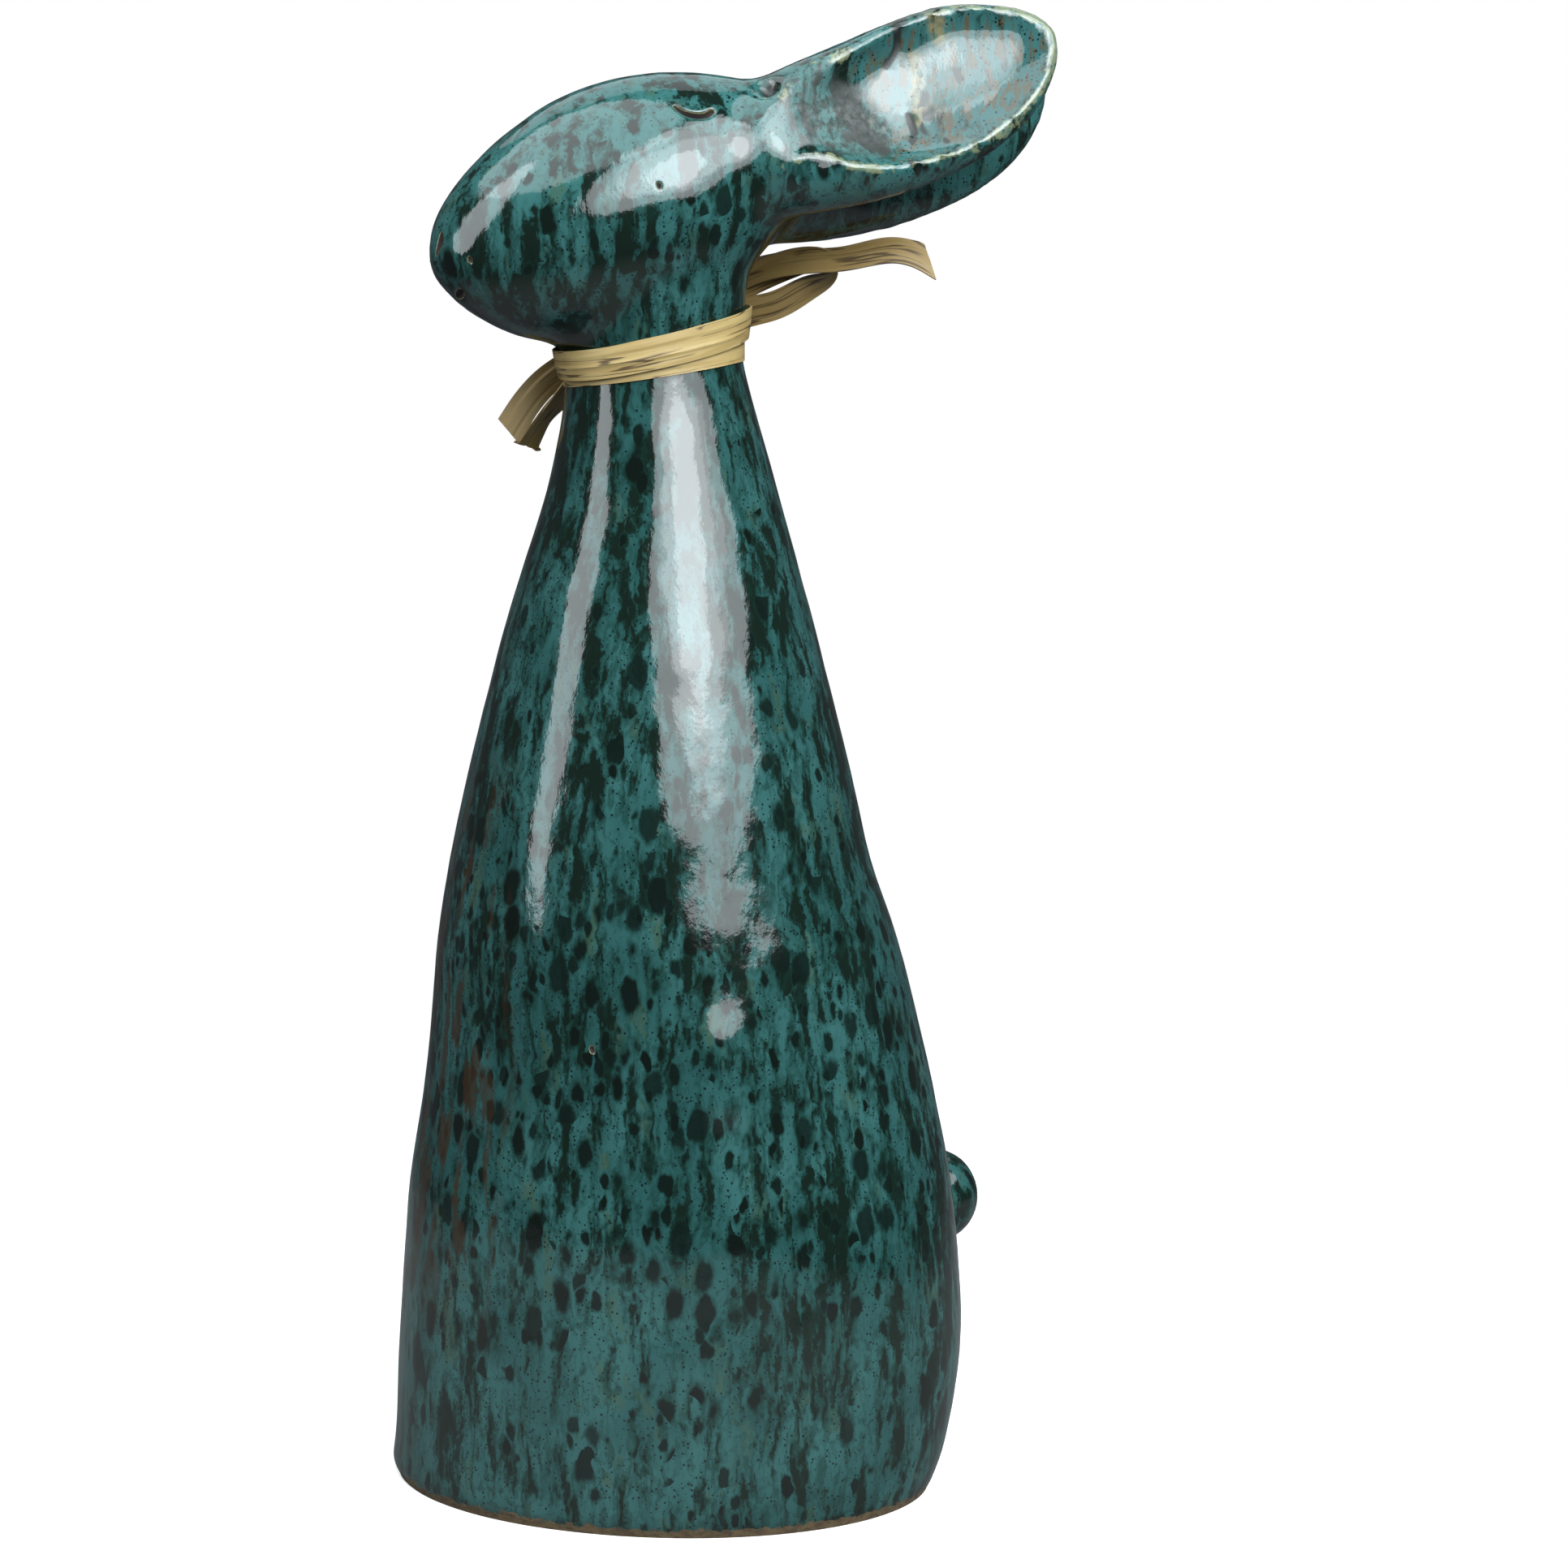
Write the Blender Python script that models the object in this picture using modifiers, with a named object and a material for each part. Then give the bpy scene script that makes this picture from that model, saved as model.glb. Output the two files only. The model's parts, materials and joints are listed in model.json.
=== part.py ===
"""A glazed ceramic hare with laid-back ears, and a strip of raffia tied in a bow round its neck.

The hare faces -Y, its left side is +X, and the origin is the middle of its foot on the ground.
Run with: blender --background --python part.py
"""

import math

import bmesh
import bpy
import numpy as np
from mathutils import Matrix, Vector
from mathutils.bvhtree import BVHTree

# Driving dimensions, in metres and degrees
HARE_HEIGHT = 0.300          # ground to the highest point of the ears
HEAD_TURN = 15.0             # the head looks this far to the hare's right
HEAD_DROOP = 19.5            # the muzzle points this far below level
HEAD_ROLL = 18.0             # the left cheek is tipped up by this much
OVAL_TURN = 43.0             # the body's oval section is turned this far from the facing line
EAR_RIM = 0.0026             # thickness of the lip round the hollow of each ear
TAIL_RADIUS = 0.0108
FOOT_EDGE = 0.0022           # height of the rounded edge round the foot
EYE_LENGTH = 0.0075
EYE_CUT = 0.0011             # half width of the carved eye slit at its middle
MOUTH_CUT = 0.0009           # half width of the mouth groove
GROOVE_TAPER = 0.25          # width of a groove's ends, as a share of its middle's
RAFFIA_WIDTH = 0.0060
RAFFIA_THICKNESS = 0.0010
RAFFIA_GAP = 0.0005          # free space between the neck and the raffia
UPPER_LIFT = 0.0007          # the upper turn of raffia lies this much further out than the lower one
KNOT_SIZE = 0.0110
KNOT_FLATNESS = 0.62         # the knot's thickness, as a share of its width
KNOT_STAND = 0.0035          # the knot's middle stands this far off the inner face of the band

# The free form is drawn in three-hundredths of the height, which are millimetres on a 300 mm hare
UNIT = HARE_HEIGHT / 300.0

# Body stations: height, middle's offset to the back, long half axis, short half axis of the oval
BODY_STATIONS = (
    (2.2, -0.3, 57.2, 45.4),
    (9.9, 1.6, 58.0, 46.8),
    (27.2, 3.6, 59.0, 48.2),
    (44.4, 4.1, 58.3, 47.8),
    (61.6, 4.0, 56.6, 47.3),
    (78.6, 3.9, 53.6, 45.3),
    (95.6, 2.9, 50.5, 43.5),
    (112.4, 1.4, 47.6, 41.7),
    (129.2, -0.1, 43.2, 38.9),
    (145.9, -0.2, 39.4, 36.3),
    (170.8, -0.1, 33.0, 31.4),
    (187.3, 0.2, 28.3, 27.5),
    (203.7, 0.7, 23.4, 23.0),
    (213.0, 0.4, 21.2, 21.0),
    (222.0, -0.1, 19.1, 18.9),
    (232.0, -1.2, 17.7, 17.4),
    (241.0, -0.6, 18.4, 17.8),
    (252.0, -1.0, 18.4, 17.4),
)
FOOT_DROP = 6.0              # the loft runs this far below the ground, where it is cut flat

# Head stations along its own axis, muzzle first: distance forward, top, bottom, half width
HEAD_STATIONS = (
    (40.0, 2.0, 0.2, 0.8),
    (38.3, 5.4, -4.4, 5.2),
    (34.8, 10.4, -10.6, 9.8),
    (27.0, 16.2, -18.4, 15.0),
    (16.0, 21.2, -23.4, 19.4),
    (2.0, 24.6, -25.2, 21.6),
    (-12.0, 23.8, -24.6, 21.6),
    (-24.0, 20.0, -19.0, 19.0),
    (-34.0, 14.4, -12.6, 14.0),
    (-41.0, 6.0, -5.0, 6.0),
)
HEAD_FORWARD = 8.5           # the head's middle lies this far in front of the body's axis
HEAD_RISE = 260.5            # height of the head's middle

# Grooves on the head: distance forward, and angle above the left side in degrees
EYE_FORWARD = -18.0
EYE_ANGLES = (30.0, 24.0, 27.0)      # front end, middle and back end of the slit
MOUTH_STOPS = ((29.0, -22.0), (33.0, -50.0), (34.5, -90.0), (33.0, -130.0), (29.0, -158.0))

# Left ear stations from the root: distance back, upward, outward, half height, half thickness
EAR_STATIONS = (
    (22.0, -1.6, 8.6, 10.0, 9.0),
    (30.0, -2.4, 9.4, 14.2, 10.6),
    (42.0, -3.4, 10.4, 16.0, 10.8),
    (54.0, -3.8, 11.2, 17.0, 9.6),
    (66.0, -3.4, 12.0, 17.0, 8.2),
    (76.0, -2.8, 12.6, 15.6, 7.0),
    (84.0, -2.6, 13.2, 12.0, 5.8),
    (90.0, -1.8, 13.6, 7.4, 4.4),
    (94.0, -1.2, 13.8, 1.8, 1.6),
)
RIGHT_EAR_EXTRA = 1.9        # the right ear is this much longer than the left one
# The hollow of the ear: distance back, depth below the outer face, share of the inner height
HOLLOW_STATIONS = (
    (44.0, 0.6, 0.24),
    (52.0, 2.4, 0.52),
    (60.0, 6.6, 0.82),
    (70.0, 8.4, 1.0),
    (80.0, 6.8, 1.0),
    (87.0, 4.6, 1.0),
    (91.6, 1.6, 0.9),
)

TAIL_HEIGHT = 52.0
TAIL_STAND = 6.8             # the tail ball's middle stands this far off the back

# Band strands round the neck: height at the front and at the back, in drawing units
LOWER_STRAND = (228.0, 233.7)
UPPER_STRAND = (229.0, 238.1)
NECK_MIDDLE = -1.2           # the neck's axis lies this far to the back of the body's
KNOT_BEARING = 155.0         # direction of the knot from the neck, counted from the left towards the back

# Strips from the knot, in drawing units from its middle: towards the back, away from the neck, upward,
# and the turn of the strip's flat about its length in degrees
BOW_LOOP = (
    (2.0, 0.0, 0.0, -70.0),
    (10.0, -1.0, 2.6, -75.0),
    (18.4, -3.5, 5.4, -75.0),
    (25.2, -5.0, 7.0, -70.0),
    (31.6, -6.0, 10.6, -55.0),
    (36.4, -7.0, 12.8, -25.0),
    (37.6, -7.0, 15.2, 0.0),
    (35.2, -6.5, 16.8, 30.0),
    (29.0, -5.5, 15.8, 60.0),
    (21.4, -3.0, 12.8, 70.0),
    (12.0, -1.0, 8.0, 75.0),
    (2.0, 0.0, 1.0, 75.0),
)
BACK_END = (
    (2.0, 1.0, 1.0, 75.0),
    (10.0, 1.0, 8.0, 70.0),
    (20.0, -3.0, 13.8, 60.0),
    (30.0, -8.5, 15.9, 55.0),
    (38.6, -11.5, 16.5, 55.0),
    (47.4, -12.5, 18.2, 60.0),
    (52.6, -12.5, 17.6, 60.0),
    (56.2, -12.5, 15.8, 60.0),
)
FRONT_END = (
    (-2.0, 0.0, 0.0, 80.0),
    (-12.0, -1.0, -2.6, 80.0),
    (-20.5, -2.5, -7.2, 85.0),
    (-25.6, -4.0, -12.2, 90.0),
    (-29.8, -5.0, -18.6, 90.0),
)
FLAT_LOOP = (
    (-2.0, 1.0, -1.0, 70.0),
    (-10.0, 2.5, -6.0, 60.0),
    (-19.6, 1.5, -12.8, 50.0),
    (-23.8, 0.5, -17.8, 45.0),
    (-27.0, 0.5, -23.4, 45.0),
)

# Mesh settings
FORM_VOXEL = 1.5 * UNIT
FORM_ROUNDS = 14             # smoothing rounds after the forms are wrapped in one skin
FINE_VOXEL = 1.1 * UNIT
FINE_ROUNDS = 3              # smoothing rounds after the ears are hollowed
HARE_FACES = 6200
SLIVER = 0.00003
RING_SIDES = 64
HOLLOW_SIDES = 32
GROOVE_SIDES = 12
BAND_SIDES = 48
SHARP_ANGLE = 40.0

MODEL_NAME = "hare_sculpture"


def start_clean():
    """Empty the scene and make the collections for the model and its cutters."""
    for thing in list(bpy.data.objects):
        bpy.data.objects.remove(thing, do_unlink=True)
    made = []
    for name in (MODEL_NAME, "cutters"):
        group = bpy.data.collections.new(name)
        bpy.context.scene.collection.children.link(group)
        made.append(group)
    return made


def material(name, colour, roughness, coat=0.0):
    made = bpy.data.materials.new(name)
    made.use_nodes = True
    shader = made.node_tree.nodes["Principled BSDF"]
    shader.inputs["Base Color"].default_value = (*colour, 1.0)
    shader.inputs["Roughness"].default_value = roughness
    shader.inputs["Metallic"].default_value = 0.0
    shader.inputs["Coat Weight"].default_value = coat
    return made


def spline(rows, steps):
    """Smooth curve through rows of values, with the given number of steps between rows."""
    rows = np.array(rows, float)
    ends = np.vstack([2 * rows[0] - rows[1], rows, 2 * rows[-1] - rows[-2]])
    points = []
    for k in range(1, len(ends) - 2):
        a, b, c, d = ends[k - 1:k + 3]
        for t in np.arange(steps) / steps:
            points.append(0.5 * (2 * b + (c - a) * t + (2 * a - 5 * b + 4 * c - d) * t ** 2
                                 + (3 * b - a - 3 * c + d) * t ** 3))
    points.append(rows[-1])
    return np.array(points)


def loft(name, rings, group, closed=False):
    """Skin over rings of equal point count, capped at both ends or joined end to end."""
    mesh = bmesh.new()
    rows = [[mesh.verts.new(point) for point in ring] for ring in rings]
    count = len(rows[0])
    pairs = list(zip(rows, rows[1:]))
    if closed:
        pairs.append((rows[-1], rows[0]))
    for near, far in pairs:
        for k in range(count):
            j = (k + 1) % count
            mesh.faces.new((near[k], near[j], far[j], far[k]))
    if not closed:
        mesh.faces.new(rows[0][::-1])
        mesh.faces.new(rows[-1])
    bmesh.ops.triangulate(mesh, faces=mesh.faces)
    bmesh.ops.recalc_face_normals(mesh, faces=mesh.faces)
    return add_object(name, mesh, group)


def add_object(name, mesh, group):
    data = bpy.data.meshes.new(name)
    mesh.to_mesh(data)
    mesh.free()
    made = bpy.data.objects.new(name, data)
    group.objects.link(made)
    return made


def bake(thing):
    """Apply an object's modifiers by taking its evaluated mesh."""
    bpy.context.view_layer.update()
    graph = bpy.context.evaluated_depsgraph_get()
    data = bpy.data.meshes.new_from_object(thing.evaluated_get(graph))
    thing.modifiers.clear()
    thing.data = data


def fuse(name, things, group):
    """Put the faces of several objects into one mesh object."""
    mesh = bmesh.new()
    for thing in things:
        mesh.from_mesh(thing.data)
        bpy.data.objects.remove(thing)
    return add_object(name, mesh, group)


def remesh(thing, voxel, rounds):
    """Wrap the object in one even skin and smooth it."""
    skin = thing.modifiers.new("skin", "REMESH")
    skin.mode = "VOXEL"
    skin.voxel_size = voxel
    soft = thing.modifiers.new("soft", "SMOOTH")
    soft.factor = 0.5
    soft.iterations = rounds
    bake(thing)


def combine(thing, other, operation, solver="EXACT"):
    """Union with, or difference by, another object."""
    step = thing.modifiers.new(operation.lower(), "BOOLEAN")
    step.operation = operation
    step.solver = solver
    step.object = other
    bake(thing)
    if solver == "EXACT":
        mend(thing)


def mend(thing):
    """Weld the slivers that a Boolean leaves and turn the faces outwards."""
    mesh = bmesh.new()
    mesh.from_mesh(thing.data)
    bmesh.ops.remove_doubles(mesh, verts=mesh.verts, dist=SLIVER)
    bmesh.ops.dissolve_degenerate(mesh, dist=SLIVER, edges=mesh.edges)
    bmesh.ops.triangulate(mesh, faces=mesh.faces)
    bmesh.ops.recalc_face_normals(mesh, faces=mesh.faces)
    mesh.to_mesh(thing.data)
    mesh.free()


def head_frame():
    """Place of the head's middle, and its forward, left and upward directions."""
    turn = math.radians(HEAD_TURN)
    droop = math.radians(HEAD_DROOP)
    roll = math.radians(HEAD_ROLL)
    level = Vector((-math.sin(turn), -math.cos(turn), 0.0))
    forward = level * math.cos(droop) - Vector((0, 0, math.sin(droop)))
    up = level * math.sin(droop) + Vector((0, 0, math.cos(droop)))
    left = up.cross(forward)
    middle = level * HEAD_FORWARD * UNIT + Vector((0, 0, HEAD_RISE * UNIT))
    return (middle, forward, left * math.cos(roll) + up * math.sin(roll),
            up * math.cos(roll) - left * math.sin(roll))


def head_point(forward, left, up):
    """World place of a point given in the head's own frame, in drawing units."""
    middle, ahead, side, top = head_frame()
    return middle + (ahead * forward + side * left + top * up) * UNIT


def ellipse(sides=RING_SIDES):
    """Unit circle points as pairs."""
    return [(math.cos(2 * math.pi * k / sides), math.sin(2 * math.pi * k / sides)) for k in range(sides)]


def oval(height, back, long_half, short_half):
    """One level ring of the body, with its long axis turned from the facing line towards the left."""
    turn = math.radians(90.0 - OVAL_TURN)
    along = Vector((math.cos(turn), math.sin(turn), 0.0))
    across = Vector((math.sin(turn), -math.cos(turn), 0.0))
    middle = Vector((0.0, back, height))
    return [middle + along * long_half * c + across * short_half * s for c, s in ellipse()]


def body_form(group):
    """The bell-shaped body and neck, carried a little below the ground."""
    stations = [tuple(row) for row in spline(BODY_STATIONS, 4) * UNIT]
    height, back, long_half, short_half = stations[0]
    foot = []
    for angle in (90.0, 60.0, 30.0):
        tuck = FOOT_EDGE * (1 - math.cos(math.radians(angle)))
        drop = FOOT_EDGE * math.sin(math.radians(angle))
        foot.append((height - drop, back, long_half - tuck, short_half - tuck))
    below = (-FOOT_DROP * UNIT, *foot[0][1:])
    rings = [oval(*row) for row in (below, *foot, *stations)]
    return loft("body_form", rings, group)


def head_form(group):
    """The egg-shaped head along its own drooping axis."""
    rings = []
    for ahead, top, bottom, half in spline(HEAD_STATIONS, 4):
        centre = (top + bottom) / 2
        reach = (top - bottom) / 2
        rings.append([head_point(ahead, half * c, centre + reach * s) for c, s in ellipse()])
    return loft("head_form", rings, group)


def ear_form(group, side):
    """One ear as a solid paddle; side is +1 for the left ear and -1 for the right one."""
    rings = []
    for back, up, out, height, thick in spline(EAR_STATIONS, 4):
        place = -back * ear_stretch(side)
        rings.append([head_point(place, side * (out + thick * c), up + height * s) for c, s in ellipse()])
    return loft("ear_form", rings, group)


def ear_stretch(side):
    """How much longer than the left ear this ear is drawn."""
    return 1.0 if side > 0 else 1.0 + RIGHT_EAR_EXTRA / EAR_STATIONS[-1][0]


def ear_at(back):
    """The ear's upward, outward, half height and half thickness at a distance back."""
    curve = spline(EAR_STATIONS, 8)
    return [float(np.interp(back, curve[:, 0], curve[:, k])) for k in range(1, 5)]


def hollow_cutter(group, side):
    """The scoop taken out of an ear's outer face, which leaves an even lip round it."""
    rings = []
    for back, depth, share in spline(HOLLOW_STATIONS, 3):
        up, out, height, thick = ear_at(back)
        inner = max(height - EAR_RIM / UNIT, 1.0) * share
        face = out + thick
        place = -back * ear_stretch(side)
        rings.append([head_point(place, side * (face + depth * c), up + inner * s)
                      for c, s in ellipse(HOLLOW_SIDES)])
    return loft("hollow_cutter", rings, group)


def tail_form(group):
    """The ball tail on the middle of the back."""
    curve = spline(BODY_STATIONS, 8)
    middle, long_half, short_half = [np.interp(TAIL_HEIGHT, curve[:, 0], curve[:, k]) for k in (1, 2, 3)]
    turn = math.radians(OVAL_TURN)
    reach = long_half * short_half / math.hypot(short_half * math.cos(turn), long_half * math.sin(turn))
    mesh = bmesh.new()
    place = Matrix.Translation((0.0, (middle + reach + TAIL_STAND) * UNIT, TAIL_HEIGHT * UNIT))
    bmesh.ops.create_uvsphere(mesh, u_segments=32, v_segments=20, radius=TAIL_RADIUS, matrix=place)
    return add_object("tail_form", mesh, group)


def surface_tree(thing):
    mesh = bmesh.new()
    mesh.from_mesh(thing.data)
    tree = BVHTree.FromBMesh(mesh)
    mesh.free()
    return tree


def on_head(tree, ahead, angle):
    """Point and outward normal of the head's skin, at an angle above its left side."""
    axis = head_point(ahead, 0.0, 0.0)
    turn = math.radians(angle)
    outward = (head_point(ahead, math.cos(turn), math.sin(turn)) - axis).normalized()
    point, normal = tree.ray_cast(axis, outward)[:2]
    return point, normal


def groove_cutter(name, tree, stops, half, group):
    """A tapered round groove along points of the head's skin, given as distance ahead and angle."""
    centres = []
    for ahead, angle in spline(stops, 6):
        centres.append(on_head(tree, ahead, angle))
    rings = []
    for k, (point, normal) in enumerate(centres):
        along = (centres[min(k + 1, len(centres) - 1)][0] - centres[max(k - 1, 0)][0]).normalized()
        across = normal.cross(along).normalized()
        share = k / (len(centres) - 1)
        size = half * (GROOVE_TAPER + (1 - GROOVE_TAPER) * math.sin(math.pi * share))
        rings.append([point + (across * c + normal * s) * size for c, s in ellipse(GROOVE_SIDES)])
    return loft(name, rings, group)


def hare(group, cutters):
    """The whole ceramic figure as one solid with a flat underside."""
    forms = [body_form(cutters), head_form(cutters), ear_form(cutters, 1), ear_form(cutters, -1),
             tail_form(cutters)]
    figure = fuse("hare", forms, group)
    remesh(figure, FORM_VOXEL, FORM_ROUNDS)
    for side in (1, -1):
        combine(figure, as_cutter(hollow_cutter(cutters, side)), "DIFFERENCE")
    remesh(figure, FINE_VOXEL, FINE_ROUNDS)
    thin = figure.modifiers.new("thin", "DECIMATE")
    thin.ratio = HARE_FACES / (2 * len(figure.data.polygons))
    bake(figure)
    tree = surface_tree(figure)
    for side in (0, 1):
        combine(figure, as_cutter(eye_cutter(tree, side, cutters)), "DIFFERENCE")
    combine(figure, as_cutter(mouth_cutter(tree, cutters)), "DIFFERENCE")
    combine(figure, as_cutter(ground_cutter(cutters)), "DIFFERENCE")
    return figure


def mirrored(angle, side):
    """The angle as it is for side 0, the left, or mirrored for side 1, the right."""
    return 180.0 - angle if side else angle


def eye_cutter(tree, side, group):
    """A closed, drooping eye slit on one side of the head."""
    half = EYE_LENGTH / 2 / UNIT
    places = (EYE_FORWARD + half, EYE_FORWARD, EYE_FORWARD - half)
    stops = [(ahead, mirrored(angle, side)) for ahead, angle in zip(places, EYE_ANGLES)]
    return groove_cutter("eye_cutter", tree, stops, EYE_CUT, group)


def mouth_cutter(tree, group):
    """The mouth line, from the left corner under the muzzle's tip to the right corner."""
    return groove_cutter("mouth_cutter", tree, MOUTH_STOPS, MOUTH_CUT, group)


def ground_cutter(group):
    """A block under the ground that leaves the figure's flat underside."""
    mesh = bmesh.new()
    size = HARE_HEIGHT
    place = Matrix.Translation((0.0, 0.0, -size / 2)) @ Matrix.Scale(size, 4)
    bmesh.ops.create_cube(mesh, size=1.0, matrix=place)
    return add_object("ground_cutter", mesh, group)


def as_cutter(thing):
    thing.hide_render = True
    thing.display_type = "WIRE"
    return thing


def neck_reach(tree, bearing, height):
    """Distance from the neck's axis to its skin at a bearing and height."""
    start = Vector((0.0, NECK_MIDDLE * UNIT, height))
    outward = Vector((math.cos(bearing), math.sin(bearing), 0.0))
    return (tree.ray_cast(start, outward)[0] - start).length


def strand_edges(tree, strand, bearing, lift):
    """Reach and height of a band strand's lower and upper edge, lying on the neck at a bearing."""
    share = (1 + math.sin(bearing)) / 2
    middle = (strand[0] + (strand[1] - strand[0]) * share) * UNIT
    low, high = middle - RAFFIA_WIDTH / 2, middle + RAFFIA_WIDTH / 2
    near_low, near_middle, near_high = [neck_reach(tree, bearing, z) for z in (low, middle, high)]
    bulge = max(0.0, near_middle - (near_low + near_high) / 2)
    clear = bulge + RAFFIA_GAP + lift
    return (near_low + clear, low), (near_high + clear, high)


def band(tree, strand, lift, group):
    """One turn of raffia round the neck, lifted off it by a further amount."""
    rings = []
    for k in range(BAND_SIDES):
        bearing = 2 * math.pi * k / BAND_SIDES
        outward = Vector((math.cos(bearing), math.sin(bearing), 0.0))
        (low_reach, low), (high_reach, high) = strand_edges(tree, strand, bearing, lift)
        start = Vector((0.0, NECK_MIDDLE * UNIT, 0.0))
        rings.append([start + outward * reach + Vector((0, 0, height)) for reach, height in (
            (low_reach, low), (low_reach + RAFFIA_THICKNESS, low),
            (high_reach + RAFFIA_THICKNESS, high), (high_reach, high))])
    return loft("band", rings, group, closed=True)


def tie_frame(tree):
    """The knot's middle, and the directions towards the back, away from the neck and upward."""
    bearing = math.radians(KNOT_BEARING)
    away = Vector((math.cos(bearing), math.sin(bearing), 0.0))
    up = Vector((0.0, 0.0, 1.0))
    share = (1 + math.sin(bearing)) / 2
    height = sum(strand[0] + (strand[1] - strand[0]) * share for strand in (LOWER_STRAND, UPPER_STRAND)) / 2
    reach = neck_reach(tree, bearing, height * UNIT) + RAFFIA_GAP + KNOT_STAND
    middle = Vector((0.0, NECK_MIDDLE * UNIT, height * UNIT)) + away * reach
    return middle, away.cross(up), away, up


def strip(name, stops, frame, group):
    """A flat strip of raffia along points given in the tie's frame."""
    middle, back, away, up = frame
    rows = spline(stops, 3)
    points = [middle + (back * row[0] + away * row[1] + up * row[2]) * UNIT for row in rows]
    rings = []
    for k, point in enumerate(points):
        along = (points[min(k + 1, len(points) - 1)] - points[max(k - 1, 0)]).normalized()
        near = (-away - along * along.dot(-away)).normalized()
        turn = math.radians(rows[k][3])
        across = near * math.cos(turn) + along.cross(near) * math.sin(turn)
        wide = across * RAFFIA_WIDTH / 2
        thick = along.cross(across) * RAFFIA_THICKNESS / 2
        rings.append([point - wide - thick, point + wide - thick, point + wide + thick, point - wide + thick])
    return loft(name, rings, group)


def knot(frame, group):
    """The pulled knot that holds the band, loops and ends together."""
    middle, back, away, up = frame
    mesh = bmesh.new()
    bmesh.ops.create_uvsphere(mesh, u_segments=16, v_segments=10, radius=KNOT_SIZE / 2)
    axes = Matrix((back, away * KNOT_FLATNESS, up)).transposed().to_4x4()
    bmesh.ops.transform(mesh, matrix=Matrix.Translation(middle) @ axes, verts=mesh.verts)
    return add_object("raffia_tie", mesh, group)


def raffia_tie(figure, group, cutters):
    """The strip of raffia: two turns round the neck, a knot, an open loop, a flat loop and two ends."""
    tree = surface_tree(figure)
    frame = tie_frame(tree)
    tie = knot(frame, group)
    parts = [band(tree, LOWER_STRAND, 0.0, cutters), band(tree, UPPER_STRAND, UPPER_LIFT, cutters)]
    parts += [strip("strip", stops, frame, cutters) for stops in (BOW_LOOP, BACK_END, FRONT_END, FLAT_LOOP)]
    for part in parts:
        combine(tie, as_cutter(part), "UNION", "MANIFOLD")
    return tie


def build():
    model, cutters = start_clean()
    figure = hare(model, cutters)
    tie = raffia_tie(figure, model, cutters)
    finish(figure, material("teal_glaze", (0.06, 0.25, 0.26), 0.12, 1.0))
    finish(tie, material("raffia_straw", (0.55, 0.43, 0.22), 0.6))


def finish(thing, surface):
    thing.data.materials.clear()
    thing.data.materials.append(surface)
    thing.data.shade_smooth()
    thing.data.set_sharp_from_angle(angle=math.radians(SHARP_ANGLE))


build()
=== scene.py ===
import json
from math import copysign, cos, hypot, pi, radians, sin

import bmesh
import bpy
import numpy as np
from mathutils import Matrix, Quaternion, Vector, noise
from mathutils.bvhtree import BVHTree

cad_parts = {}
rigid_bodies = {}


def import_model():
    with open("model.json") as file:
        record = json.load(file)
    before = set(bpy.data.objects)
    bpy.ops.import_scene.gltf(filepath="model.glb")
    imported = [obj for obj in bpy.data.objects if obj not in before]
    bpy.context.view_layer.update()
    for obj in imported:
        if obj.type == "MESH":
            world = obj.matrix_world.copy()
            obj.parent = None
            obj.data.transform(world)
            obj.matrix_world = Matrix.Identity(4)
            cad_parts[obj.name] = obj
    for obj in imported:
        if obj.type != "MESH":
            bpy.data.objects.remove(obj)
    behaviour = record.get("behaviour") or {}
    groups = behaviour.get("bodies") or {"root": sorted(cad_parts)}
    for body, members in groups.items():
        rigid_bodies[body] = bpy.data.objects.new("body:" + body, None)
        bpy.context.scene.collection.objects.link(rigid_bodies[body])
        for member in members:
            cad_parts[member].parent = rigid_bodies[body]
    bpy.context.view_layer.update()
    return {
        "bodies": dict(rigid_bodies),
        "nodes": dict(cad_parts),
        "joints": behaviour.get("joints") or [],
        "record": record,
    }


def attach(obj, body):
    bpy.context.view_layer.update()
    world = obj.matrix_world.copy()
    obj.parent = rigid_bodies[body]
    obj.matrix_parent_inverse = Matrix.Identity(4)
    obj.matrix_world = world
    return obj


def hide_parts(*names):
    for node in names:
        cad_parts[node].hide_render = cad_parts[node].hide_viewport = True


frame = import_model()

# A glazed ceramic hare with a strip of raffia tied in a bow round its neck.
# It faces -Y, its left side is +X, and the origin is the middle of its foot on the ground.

# The free form is drawn in units of one 300th of the hare's height, which are millimetres here
HARE_HEIGHT = 0.300
UNIT = HARE_HEIGHT / 300

# Camera, in the picture's own pixels
PICTURE = 1932
CAMERA_SIDE = 25  # degrees from the hare's left side towards its face
CAMERA_DISTANCE = 0.8178
CAMERA_HEIGHT = 0.2484
CAMERA_YAW = 1.7641
CAMERA_PITCH = 7.2714
CAMERA_LENS = 92.888
SENSOR = 36
CAMERA_NEAR = 0.01  # the camera sees nothing nearer than this

# Pose and proportions of the figure
HEAD_TURN = 15  # the head looks this far to the hare's right
HEAD_DROOP = 19.5  # the muzzle points this far below level
HEAD_ROLL = 18  # the left cheek is tipped up by this much
OVAL_TURN = 43  # the body's oval section is turned this far from the facing line
EAR_RIM = 0.0026  # thickness of the lip round the hollow of each ear
TAIL_RADIUS = 0.0108
FOOT_EDGE = 0.0022  # height of the rounded edge round the foot

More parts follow.
